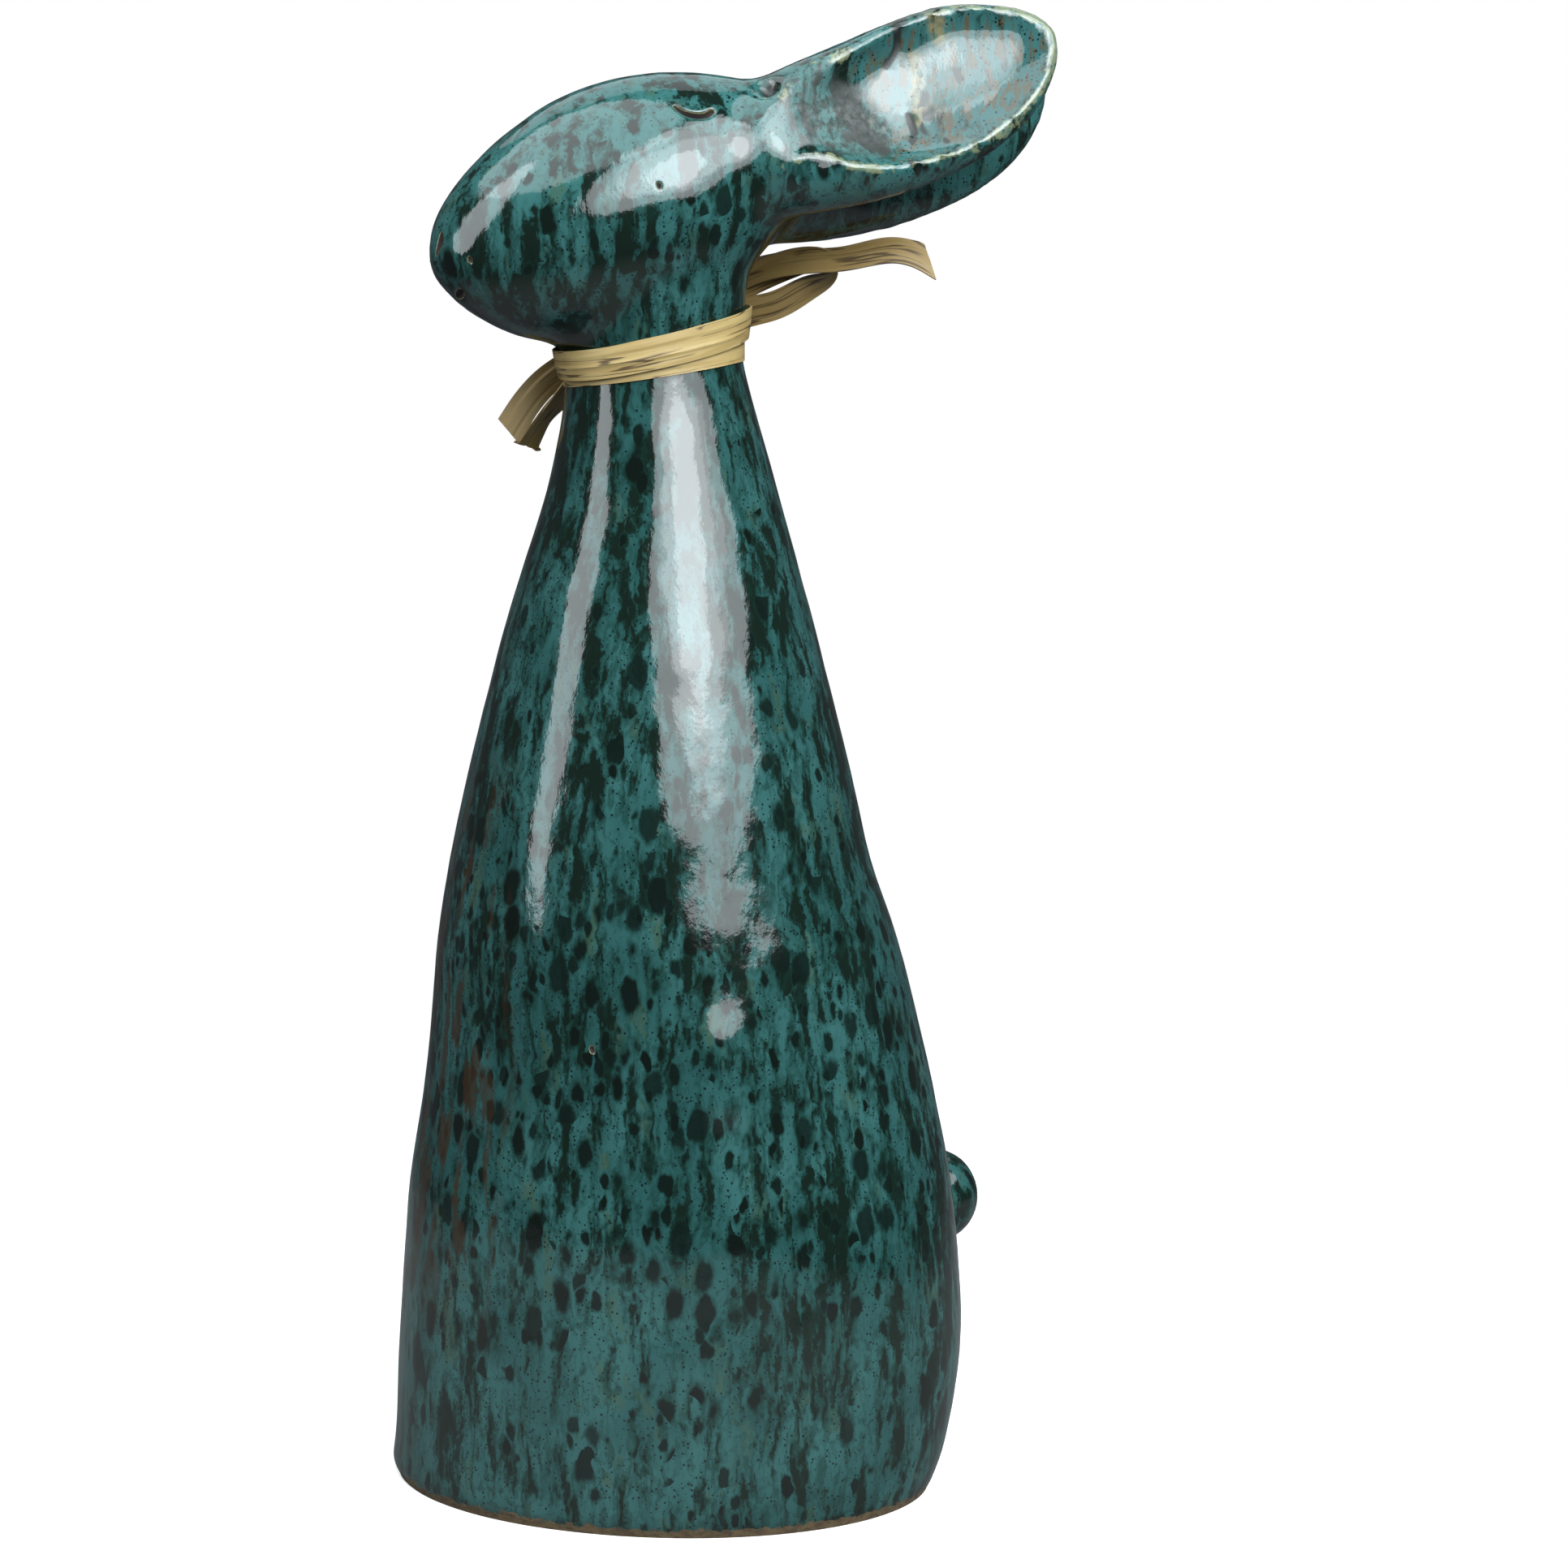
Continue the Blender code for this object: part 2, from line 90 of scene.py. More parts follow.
# Body stations: height, middle's offset to the back, long half axis, short half axis of the oval
BODY_STATIONS = (
    (2.2, -0.3, 57.2, 45.4),
    (9.9, 1.6, 58, 46.8),
    (27.2, 3.6, 59, 48.2),
    (44.4, 4.1, 58.3, 47.8),
    (61.6, 4, 56.6, 47.3),
    (78.6, 3.9, 53.6, 45.3),
    (95.6, 2.9, 50.5, 43.5),
    (112.4, 1.4, 47.6, 41.7),
    (129.2, -0.1, 43.2, 38.9),
    (145.9, -0.2, 39.4, 36.3),
    (170.8, -0.1, 33, 31.4),
    (187.3, 0.2, 28.3, 27.5),
    (203.7, 0.7, 23.4, 23),
    (213, 0.4, 21.2, 21),
    (222, -0.1, 19.1, 18.9),
    (232, -1.2, 17.7, 17.4),
    (241, -0.6, 18.4, 17.8),
    (252, -1, 18.4, 17.4),
)
FOOT_DROP = 6  # the loft runs this far below the ground, where it is cut flat
FOOT_ANGLES = (90, 75, 60, 45, 30, 15)  # steps round the foot's rounded edge

# Head stations along its own axis, muzzle first: distance forward, top, bottom, half width
HEAD_STATIONS = (
    (40, 2, 0.2, 0.8),
    (38.3, 5.4, -4.4, 5.2),
    (34.8, 10.4, -10.6, 9.8),
    (27, 16.2, -18.4, 15),
    (16, 21.2, -23.4, 19.4),
    (2, 24.6, -25.2, 21.6),
    (-12, 23.8, -24.6, 21.6),
    (-24, 20, -19, 19),
    (-34, 14.4, -12.6, 14),
    (-41, 6, -5, 6),
)
HEAD_FORWARD = 8.5  # the head's middle lies this far in front of the body's axis
HEAD_RISE = 260.5  # height of the head's middle

# Left ear stations from the root: distance back, upward, outward, half height, half thickness
EAR_STATIONS = (
    (22, -1.6, 8.6, 10, 9),
    (30, -2.4, 9.4, 14.2, 10.6),
    (42, -3.4, 10.4, 16, 10.8),
    (54, -3.8, 11.2, 17, 9.6),
    (66, -3.4, 12, 17, 8.2),
    (76, -2.8, 12.6, 15.6, 7),
    (84, -2.6, 13.2, 12, 5.8),
    (90, -1.8, 13.6, 7.4, 4.4),
    (94, -1.2, 13.8, 1.8, 1.6),
)
RIGHT_EAR_EXTRA = 1.9  # the right ear is this much longer than the left one
# The hollow of the ear: distance back, depth below the outer face, share of the inner height
HOLLOW_STATIONS = (
    (31, 0.2, 0.34),
    (35.5, 2.2, 0.50),
    (41, 4.8, 0.62),
    (47, 7.2, 0.74),
    (53, 8.8, 0.84),
    (60, 8.8, 0.92),
    (70, 7.4, 1),
    (80, 5.8, 1),
    (87, 4, 1),
    (91.6, 1.4, 0.9),
)
HOLLOW_FLATNESS = 0.5  # below 1 the hollow's floor is flatter than an oval
# What counts as the hollow, each from none to full: depth below the outer face, how squarely the skin
# faces outward, and distance back; and the least distance outward
HOLLOW_DEPTH = (1, 3)
HOLLOW_FACING = (0.1, 0.4)
HOLLOW_BACK = (46, 58)
HOLLOW_OUTWARD = 2

TAIL_HEIGHT = 52
TAIL_STAND = 6.8  # the tail ball's middle stands this far off the back

# Where the smoothed skin is put back on the body's drawn surface, each from none to full, in metres
NECK_FADE = (0.215, 0.195)  # height, on the way down from the head
FOOT_FADE = (0.000, 0.004)  # height, on the way up from the ground
TAIL_MIDDLE = (0, 0.0575, 0.052)
TAIL_FADE = (0.017, 0.026)  # distance from the tail's middle
EAR_FADE = (36, 44)  # distance back from the head's middle, where smoothing stops for the ears

# Raffia, as on the solid model
RAFFIA_WIDTH = 0.0060
LOWER_STRAND = (228, 233.7)
UPPER_STRAND = (229, 238.1)
NECK_MIDDLE = -1.2  # the neck's axis lies this far to the back of the body's
KNOT_BEARING = 155  # direction of the knot from the neck, counted from the left towards the back
RAFFIA_GAP = 0.0003  # free space between the neck and the raffia
RAFFIA_SKIN = 0.00032  # thickness of the strip itself
UPPER_LIFT = 0.0010  # the upper turn lies this much further out than the lower one
KNOT_STAND = 0.0035  # the knot's middle stands this far off the inner face of the band
BAND_START = 6  # degrees from the knot to the start of the band
BAND_END = 714  # and to its end, almost two turns on
BAND_STEP = 4
BAND_CROSSING = (325, 395)  # in this stretch the lower turn becomes the upper one

# The strand's free runs, from the knot's middle: towards the back, away from the neck, upward, and the
# turn of the strip's flat about its length in degrees
BOW_LOOP = (
    (2, 0, 0, -70), (10, -1, 2.6, -75), (18.4, -3.5, 5.4, -75), (25.2, -5, 7, -70),
    (31.6, -6, 10.6, -55), (36.4, -7, 12.8, -25), (37.6, -7, 15.2, 0), (35.2, -6.5, 16.8, 30),
    (29, -5.5, 15.8, 60), (21.4, -3, 12.8, 70), (12, -1, 8, 75), (2, 0, 1, 75),
)
BACK_END = (
    (2, 1, 1, 75), (10, 1, 8, 70), (20, -3, 13.8, 60), (30, -8.5, 15.9, 55),
    (38.6, -11.5, 16.5, 55), (47.4, -12.5, 18.2, 60), (52.6, -12.5, 17.6, 60),
    (56.2, -12.5, 15.8, 60),
)
FRONT_END = (
    (-2, 0, 0, 80), (-12, -1, -2.6, 80), (-20.5, -2.5, -7.2, 85), (-25.6, -4, -12.2, 90),
    (-29.8, -5, -18.6, 90),
)
FLAT_LOOP = (
    (-2, 1, -1, 70), (-10, 2.5, -6, 50), (-19.6, 1.5, -12.8, 30), (-23.8, 0.5, -17.8, 25),
    (-26.6, 0.5, -22.6, 45),
)
FLAT_RETURN = (
    (-26.2, 0, -22, -45), (-22, -1.2, -15.6, -25), (-16.4, -1, -9.2, -40), (-9, 0.6, -3.2, -65),
    (-2, 0.6, 0.6, -70),
)
KNOT_TURNS = 1.7
KNOT_STEPS = 24  # rows in one turn of the knot
KNOT_REACH = 3.4  # the knot's strip runs this far in and out from the knot's middle
KNOT_RISE = 5  # and this far up and down
KNOT_DRIFT = 1.1  # and wanders this far along the band
KNOT_PHASE = 0.6
KNOT_TILT = 0.25

# Unevenness of the strip along its length: mean, swing, and length of one swing in metres
STRIP_WIDTH = (1.04, 0.10, 0.021)  # share of the full width
STRIP_EDGE = (1, 0.03, 0.007)  # how far out the two edges lie
FOLD_PLACE = (-0.25, 0.35, 0.060)  # share of the half width, as all places across the strip are
FOLD_DEPTH = (0, 0.00028, 0.033)
PLEAT_PLACE = (0.20, 0.40, 0.050)
PLEAT_DEPTH = (0, 0.00030, 0.040)
CURL = (0, 0.00022, 0.040)
FOLD_SPREAD = 0.10
PLEAT_SPREAD = 0.06
CURL_LEVEL = 0.33  # the place across, squared, that the curl leaves where it is
EDGE_FROM = 0.95  # places further out than this belong to an edge
CUT_LENGTH = 0.006  # the slant of a cut end runs this far along the strip
END_SLANTS = (0.35, -0.9)
STRAND_SEED = 11
KNOT_SEED = 37
STRIP_SIDES = 25
ROW_SPACING = 0.0009
ROW_GAP = 0.0004  # rows nearer than this are one
ROW_ROUNDS = 3  # smoothing rounds along the strip

# Marks: picture places down their middle line, with half width and depth in drawing units
EYE_MARK = (
    (831, 131, 0.28, 0.30), (838, 136, 0.42, 0.90), (848, 140, 0.52, 1.40), (860, 142, 0.55, 1.50),
    (870, 141, 0.58, 1.40), (877, 137, 0.48, 0.90),
)
MUZZLE_MARK = (
    (543, 289, 0.45, 0.50), (541.5, 298, 0.80, 1.00), (539, 306, 0.60, 0.70),
    (537.5, 313, 0.35, 0.30),
)
CHIN_MARK = (
    (563, 367, 0.45, 0.60), (566, 363, 0.75, 1.10), (568.5, 359, 0.45, 0.50),
)
PITS = (
    ((578, 319, 0.40, 0.50), (579, 321, 0.40, 0.50)),
    ((812, 228, 0.40, 0.50), (812.5, 230, 0.40, 0.50)),
    ((729, 1292.5, 0.45, 0.50), (729.5, 1295, 0.45, 0.50)),
)
ROOT_DENT = ((944, 105, 1.9, 2.6), (946, 107.5, 1.9, 2.6))
# Two creases, and the ridges of the ear's upper and lower lip
EAR_MARKS = (
    ((1105, 30, 0.90, 0.30), (1106, 44, 0.95, 0.40), (1104, 62, 0.95, 0.40), (1092, 82, 0.90, 0.30)),
    ((1119, 142, 0.90, 0.30), (1123, 152, 1.00, 0.45), (1127, 164, 0.90, 0.30)),
    ((966, 118, 1.40, -0.35), (985, 95, 1.80, -0.60), (1012, 76, 1.90, -0.65),
     (1050, 56, 1.80, -0.55), (1092, 34, 1.40, -0.30)),
    ((955, 211, 1.10, -0.30), (988, 194, 1.30, -0.70), (1020, 193, 1.30, -0.85),
     (1055, 206, 1.30, -0.80), (1100, 207, 1.10, -0.40)),
)
BODY_BUMP = ((884, 1294, 7.5, -1.3), (901, 1344, 7.5, -1.3))
# Drips of dark glaze on the head: picture column, top and bottom, with half width in drawing units
DRIPS = (
    (587, 286, 336, 1.2), (621, 227, 295, 1.3), (657, 259, 331, 1.1), (680, 173, 214, 1.2),
    (705, 259, 318, 1.5), (709, 178, 209, 1), (725, 209, 264, 1.1), (770, 255, 327, 1.7),
    (781, 128, 160, 1.3), (804, 259, 295, 1), (847, 166, 208, 1.4), (867, 286, 318, 1.3),
    (917, 150, 205, 1.4), (935, 227, 264, 1.4),
)
DRIP_SHIFT = 1  # a drip's lower end lies this many pixels to the right
DRIP_TAPER = 0.8  # and is this share of its upper end's width
# Places darkened with extra dark runs: the brow, where dark glaze gathers, and the front of the ear, where
# the dark is painted shade
GATHERS_AND_SHADE = (
    ((834, 104, 1.6, 0), (856, 113, 1.9, 0), (879, 123, 1.6, 0)),
    ((1040, 78, 2.6, 0), (1046, 118, 3.6, 0), (1062, 156, 3.6, 0), (1076, 176, 2.6, 0)),
)
# The ear's surface dips here and runs softly into its hollow
TROUGH = ((996, 100, 3.4, 0.2), (992, 128, 4.6, 0.4), (1000, 158, 4.6, 0.4), (1018, 184, 3.4, 0.2))
TROUGH_ROUNDS = 30
TROUGH_SPREAD = 1.6  # the softening's weight is this many times the dip's share, up to 1
# The glaze is crinkled and less glossy where the hollow begins, and darkened there with painted shade
CRINKLES_AND_SHADE = (
    ((1006, 92, 4, 0), (1008, 130, 7, 0), (1036, 150, 8, 0), (1070, 168, 6, 0)),
)
# Tan stains on the ear's lip and down its hollow
STAINS = (
    ((1150, 16, 1.9, 0), (1158, 46, 1.9, 0)),
    ((1126, 72, 1.6, 0), (1131, 148, 1.5, 0)),
)
EYE_ROOM = 0.0016  # faces are made finer this far round the eyes
MARK_ROOM = 0.0022  # round all coloured marks
CREASE_ROOM = 0.003  # and round creases narrower than CREASE_WIDTH
CREASE_WIDTH = 1.2
SPLIT_SPREAD = 1.6  # in each case with this many half widths of the mark
MARK_MARGIN = 0.005  # the skin is softened this far round a mark
MARK_REACH = 3  # a mark changes nothing further off than its length and these half widths

WAVE_LENGTH = 0.0075  # the glaze is this uneven in breadth
WAVE_SEED = 7.3
WAVE_DEPTH = 0.00010  # and this much in thickness
WAVE_FLATTENING = (1, 1, 0.6)  # the waves are longer upward
RIPPLES = (0.5, 2.1)  # smaller waves: their share of the depth, and how much shorter they are
WAVE_FADE = (0.003, 0.012)  # height at which they begin and are full
RIDGE_HEIGHT = (0.00004, 0.00014)  # a point this far above its neighbours lies on a sharp rim
RIM_FADE = (0.010, 0.020)  # height at which rims begin to count and are full

# Mesh settings
FORM_VOXEL = 1.5 * UNIT
FORM_ROUNDS = 14
FINE_VOXEL = 1.27 * UNIT
FINE_ROUNDS = 3
CALM_ROUNDS = 10
MARK_ROUNDS = 4
RIM_ROUNDS = 2
RING_SIDES = 96
HOLLOW_SIDES = 64
TAIL_SIDES = (64, 40)
LOFT_STEPS = 4  # rings from one station of a form to the next
LOOKUP_STEPS = 8
MARK_STEPS = 6
GLAZE_CORNER = 60  # an edge sharper than this many degrees is drawn sharp
RAFFIA_CORNER = 50

# Light and floor; colours are linear
FLOOR_RADIUS = 0.50
FLOOR_CLEAR = 0.20  # inside this radius the floor is solid
FLOOR_SIDES = 128
FLOOR_SEEN = (0.80, 0.80, 0.80)
FLOOR_REFLECTED = (0.13, 0.13, 0.13)
FLOOR_GLOW = 0.45
FLOOR_ROUGHNESS = 0.9
WHITE = (1, 1, 1, 1)
ROOM_REFLECTED = (0.065, 0.070, 0.078, 1)
LIGHT_TINT = (0.90, 0.965, 1)
LIGHT_AIM = 0.17  # height that every light points at
# Degrees to the camera's right, degrees above level, distance, width and height as shares of the
# distance, radiance, and degrees of roll
LIGHTS = {
    "main_softbox": (37, 37, 1.50, 1.78, 1.02, 2.9, 22),
    "upper_glow": (36, 39, 1.48, 1.30, 0.80, 1.3, 22),
    "bright_halo": (27, 31, 1.46, 0.78, 0.66, 1.6, 15),
    "bright_core": (25, 29, 1.44, 0.44, 0.42, 3.2, 0),
    "side_strip": (-67, 27, 1.30, 0.38, 1.10, 3.1, 0),
    "top_fill": (-55, 66, 1.30, 1.45, 1.00, 1.9, 0),
    "back_fill": (180, 50, 1.50, 1.20, 0.70, 0.7, 0),
}

# Colours of the glaze, the clay and the raffia, linear
TEAL = (0.017, 0.070, 0.067)
TEAL_PALE = (0.029, 0.101, 0.097)
# painted light: paler head colour, as if lit from above
TEAL_HEAD_LIT = (0.030, 0.118, 0.112)
TEAL_GREEN = (0.007, 0.036, 0.030)
RUN_DARK = (0.0030, 0.0085, 0.0050)
SPOT_DARK = (0.0016, 0.0050, 0.0034)
DROP_EDGE = (0.0040, 0.022, 0.016)
SPECK = (0.002, 0.008, 0.009)
HOLLOW_PALE = (0.032, 0.105, 0.106)
DRIP_BROWN = (0.075, 0.058, 0.032)
STAIN = (0.210, 0.175, 0.080)
RUST = (0.034, 0.018, 0.008)
OLIVE = (0.045, 0.070, 0.030)
THIN_GLAZE = (0.205, 0.230, 0.135)
CARVED_EDGE = (0.210, 0.165, 0.065)
CARVED_DARK = (0.008, 0.004, 0.003)
CLAY = (0.15, 0.100, 0.045)
CLAY_DARK = (0.065, 0.040, 0.018)
STRAW = (0.360, 0.252, 0.092)
STRAW_PALE = (0.440, 0.325, 0.135)
STRAW_SHADE = (0.225, 0.143, 0.048)
# dark of the cracks, deepened with painted shade like that in creases
STRAW_CRACK_SHADE = (0.045, 0.023, 0.010)
# painted shade: this colour darkens the strand's free ends
STRAW_SHADED_ENDS = (0.205, 0.125, 0.036)

PER_METRE = (1000, 1000, 1000)  # the glaze's pattern is given in millimetres
# Noises of the glaze: sizes of the lumps along X, Y and Z in millimetres, detail and roughness
BROAD_MOTTLE = ((20, 20, 28), 2, 0.5)
MOTTLE = ((1.7, 1.7, 3), 4, 0.66)
LONG_RUNS = ((3.2, 3.2, 19), 3, 0.55)
FINE_RUNS = ((1.4, 1.4, 6.5), 3, 0.6)
PATCHES = ((12, 12, 34), 2, 0.5)
DROP_CROWDS = ((17, 17, 24), 1, 0.5)
SPECK_CROWDS = ((9, 9, 12), 2, 0.5)
RUST_STREAKS = ((4, 4, 26), 2, 0.5)
OLIVE_PATCHES = ((5, 5, 12), 3, 0.6)
BROWN_RUNS = ((1.7, 1.7, 9), 3, 0.6)
CRUMBLE = ((1.6, 1.6, 1.6), 4, 0.65)
CLAY_BORDER = ((3, 3, 3), 3, 0.6)
CLAY_GRAIN = ((2, 2, 1), 4, 0.7)
SKIN_RELIEF = ((2.2, 2.2, 3.4), 3, 0.55)
MIDDLE_HALF = (0.38, 0.62)  # most values of a broad noise lie between these
WIDE_HALF = (0.3, 0.7)  # and of a fine one between these

# Noises that push the pattern about: sizes of the lumps, and how far they push, in millimetres
BROAD_SWAY = ((8, 8, 14), (5, 5, 18))
RAGGED_SWAY = ((1.5, 1.5, 2.4), (2, 2, 5))
EASY_SWAY = ((2.6, 2.6, 4.4), (2.6, 2.6, 4))

# Where things lie on the figure, each from none to full, in millimetres
BACKWARD = (0.42, 0.91)  # direction from the face to the back as the camera sees it, in X and Y
LIT_CROWN = (242, 270)  # height over which the head is painted paler and less green, as painted light from above, and has fewer runs
LOW_BACK = (0, 35)  # distance backward, and height, of the low back's extra runs
LOW_BACK_FALL = (120, 30)
MIDDLE_RISE = (25, 55)  # heights between which most drops lie
MIDDLE_FALL = (150, 115)
RUST_FRONT = (-26, -38)  # distance backward, and heights, of the rusty streaks
RUST_RISE = (30, 60)
RUST_FALL = (165, 130)
BARE_CLAY = (2.1, 1.6)  # height of the unglazed edge

# Runs: parts of the three noises, heights between which they thin out downward, and their limits there
RUN_PARTS = (0.52, 0.23, 0.25)
RUN_LIMITS = (105, 160, 0.552, 0.494)
RUN_HALO = (0.080, 0.015)  # the halo starts this far below the limit, and is full this far above it
RUN_CORE = (0.020, 0.045)

# Drops: cell sizes, smallest and largest radius as shares of a cell, share of cells with a drop
# away from the middle of the body and on it
LARGE_DROPS = ((5.4, 5.4, 10), 0.20, 0.42, 0.16, 0.84)
SMALL_DROPS = ((3, 3, 5.6), 0.18, 0.40, 0.30, 0.70)
DROP_BLUR = (0.05, 0.05)  # a drop's edge fades this far outward and inward
RING_BLUR = (0.16, 0.02)
SPECK_CELLS = (0.74, 0.74, 0.80)
SPECK_RADII = (0.10, 0.36)
SPECK_SHARES = (0.15, 0.90)

GLAZE_ROUGHNESS = (0.08, 0.85)  # of the gloss and of bare clay
GLAZE_IOR = 1.65
GLAZE_BUMP = (0.00016, 0.30)  # distance and strength
STRAW_ROUGHNESS = (0.60, 0.45)
STRAW_BUMP = (0.00012, 0.30)

# Noises of the raffia: sizes across and along in strip widths, detail and roughness
FIBRES = ((0.030, 1.4, 1), 3, 0.6)
BROAD_FIBRES = ((0.22, 3, 1), 3, 0.55)
BLOTCHES = ((0.7, 1.2, 1), 3, 0.6)
CRACK_SHADE_PATHS = ((0.33, 8, 1), 2, 0.5)
CRACK_SHADE_BREAKS = ((2, 4, 1), 2, 0.5)
ENDS_SHADE_START = (6.4, 5.2)  # painted shade darkens the strand's free ends, before and after these places along it
ENDS_SHADE_END = (44.5, 46)


def spline(rows, steps):
    """Smooth curve through rows of values, with the given number of steps between rows."""
    rows = np.array(rows, float)
    ends = np.vstack([2 * rows[0] - rows[1], rows, 2 * rows[-1] - rows[-2]])
    points = []
    for k in range(1, len(ends) - 2):
        a, b, c, d = ends[k - 1:k + 3]
        for t in np.arange(steps) / steps:
            points.append(0.5 * (2 * b + (c - a) * t + (2 * a - 5 * b + 4 * c - d) * t ** 2
                                 + (3 * b - a - 3 * c + d) * t ** 3))
    points.append(rows[-1])
    return np.array(points)


def smooth_share(value, low, high):
    """0 below low, 1 above high, and a smooth rise between; low may be the larger one."""
    t = np.clip((value - low) / (high - low), 0.0, 1.0)
    return t * t * (3 - 2 * t)


def new_object(name, mesh):
    data = bpy.data.meshes.new(name)
    mesh.to_mesh(data)
    mesh.free()
    made = bpy.data.objects.new(name, data)
    bpy.context.scene.collection.objects.link(made)
    return made


def loft(name, rings):
    """Closed skin over rings of equal point count, capped at both ends."""
    mesh = bmesh.new()
    rows = [[mesh.verts.new(point) for point in ring] for ring in rings]
    count = len(rows[0])
    for near, far in zip(rows, rows[1:]):
        for k in range(count):
            j = (k + 1) % count
            mesh.faces.new((near[k], near[j], far[j], far[k]))
    mesh.faces.new(rows[0][::-1])
    mesh.faces.new(rows[-1])
    bmesh.ops.recalc_face_normals(mesh, faces=mesh.faces)
    return new_object(name, mesh)


def bake(thing):
    """Apply an object's modifiers by taking its evaluated mesh."""
    bpy.context.view_layer.update()
    graph = bpy.context.evaluated_depsgraph_get()
    data = bpy.data.meshes.new_from_object(thing.evaluated_get(graph))
    thing.modifiers.clear()
    thing.data = data


def remesh(thing, voxel, rounds):
    """Wrap the object in one even skin and smooth it."""
    skin = thing.modifiers.new("skin", "REMESH")
    skin.mode = "VOXEL"
    skin.voxel_size = voxel
    soft = thing.modifiers.new("soft", "SMOOTH")
    soft.factor = 0.5
    soft.iterations = rounds
    bake(thing)


def cut(thing, cutter):
    """Take the cutter out of the object, and remove the cutter."""
    step = thing.modifiers.new("cut", "BOOLEAN")
    step.operation = "DIFFERENCE"
    step.solver = "EXACT"
    step.object = cutter
    bake(thing)
    bpy.data.objects.remove(cutter)


# Camera

def camera_axes():
    """Camera place and its forward, right and upward directions."""
    side = radians(CAMERA_SIDE)
    out = Vector((cos(side), -sin(side), 0.0))
    across = Vector((sin(side), cos(side), 0.0))
    yaw, pitch = radians(CAMERA_YAW), radians(CAMERA_PITCH)
    level = -out * cos(yaw) + across * sin(yaw)
    forward = level * cos(pitch) - Vector((0, 0, sin(pitch)))
    right = level.cross(Vector((0, 0, 1))).normalized()
    return out * CAMERA_DISTANCE + Vector((0, 0, CAMERA_HEIGHT)), forward, right, right.cross(forward)


def make_camera():
    place, forward, right, up = camera_axes()
    data = bpy.data.cameras.new("camera")
    data.lens = CAMERA_LENS
    data.sensor_width = SENSOR
    data.clip_start = CAMERA_NEAR
    camera = bpy.data.objects.new("camera", data)
    camera.matrix_world = Matrix.Translation(place) @ Matrix((right, up, -forward)).transposed().to_4x4()
    bpy.context.scene.collection.objects.link(camera)
    bpy.context.scene.camera = camera


def sight(x, y):
    """Direction from the camera through a pixel of the picture."""
    _, forward, right, up = camera_axes()
    scale = SENSOR / CAMERA_LENS / PICTURE
    return (forward + right * (x - PICTURE / 2) * scale - up * (y - PICTURE / 2) * scale).normalized()


# The figure

def head_frame():
    """Place of the head's middle, and its forward, left and upward directions."""
    turn = radians(HEAD_TURN)
    droop = radians(HEAD_DROOP)
    roll = radians(HEAD_ROLL)
    level = Vector((-sin(turn), -cos(turn), 0.0))
    forward = level * cos(droop) - Vector((0, 0, sin(droop)))
    up = level * sin(droop) + Vector((0, 0, cos(droop)))
    left = up.cross(forward)
    middle = level * HEAD_FORWARD * UNIT + Vector((0, 0, HEAD_RISE * UNIT))
    return (middle, forward, left * cos(roll) + up * sin(roll),
            up * cos(roll) - left * sin(roll))


def head_point(forward, left, up):
    """World place of a point given in the head's own frame, in drawing units."""
    middle, ahead, side, top = head_frame()
    return middle + (ahead * forward + side * left + top * up) * UNIT


def ellipse(sides=RING_SIDES):
    return [(cos(2 * pi * k / sides), sin(2 * pi * k / sides)) for k in range(sides)]


def oval_axes():
    turn = radians(90.0 - OVAL_TURN)
    return Vector((cos(turn), sin(turn), 0.0)), Vector((sin(turn), -cos(turn), 0.0))


def oval(height, back, long_half, short_half):
    """One level ring of the body."""
    along, across = oval_axes()
    middle = Vector((0.0, back, height))
    return [middle + along * long_half * c + across * short_half * s for c, s in ellipse()]


def body_rows():
    """Body stations in metres, from below the ground, round the foot's edge and up to the neck."""
    stations = [tuple(row) for row in spline(BODY_STATIONS, LOFT_STEPS) * UNIT]
    height, back, long_half, short_half = stations[0]
    foot = []
    for angle in FOOT_ANGLES:
        tuck = FOOT_EDGE * (1 - cos(radians(angle)))
        drop = FOOT_EDGE * sin(radians(angle))
        foot.append((height - drop, back, long_half - tuck, short_half - tuck))
    below = (-FOOT_DROP * UNIT, *foot[0][1:])
    return [below, *foot, *stations]


def head_form():
    rings = []
    for ahead, top, bottom, half in spline(HEAD_STATIONS, LOFT_STEPS):
        centre = (top + bottom) / 2
        reach = (top - bottom) / 2
        rings.append([head_point(ahead, half * c, centre + reach * s) for c, s in ellipse()])
    return loft("head_form", rings)


def ear_form(side):
    """One ear as a solid paddle; side is +1 for the left ear and -1 for the right one."""
    rings = []
    for back, up, out, height, thick in spline(EAR_STATIONS, LOFT_STEPS):
        place = -back * ear_stretch(side)
        rings.append([head_point(place, side * (out + thick * c), up + height * s) for c, s in ellipse()])
    return loft("ear_form", rings)


def ear_stretch(side):
    """How much longer than the left ear this ear is drawn."""
    return 1.0 if side > 0 else 1.0 + RIGHT_EAR_EXTRA / EAR_STATIONS[-1][0]


def ear_at(back):
    """The ear's upward, outward, half height and half thickness at a distance back."""
    curve = spline(EAR_STATIONS, LOOKUP_STEPS)
    return [np.interp(back, curve[:, 0], curve[:, k]) for k in range(1, 5)]


def hollow_cutter(side):
    """The scoop taken out of an ear's outer face, which leaves an even lip round it."""
    rings = []
    for back, depth, share in spline(HOLLOW_STATIONS, LOFT_STEPS):
        up, out, height, thick = ear_at(back)
        inner = max(height - EAR_RIM / UNIT, 1.0) * share
        face = out + thick
        place = -back * ear_stretch(side)
        rings.append([head_point(place, side * (face + depth * copysign(abs(c) ** HOLLOW_FLATNESS, c)),
                                 up + inner * s) for c, s in ellipse(HOLLOW_SIDES)])
    return loft("hollow_cutter", rings)


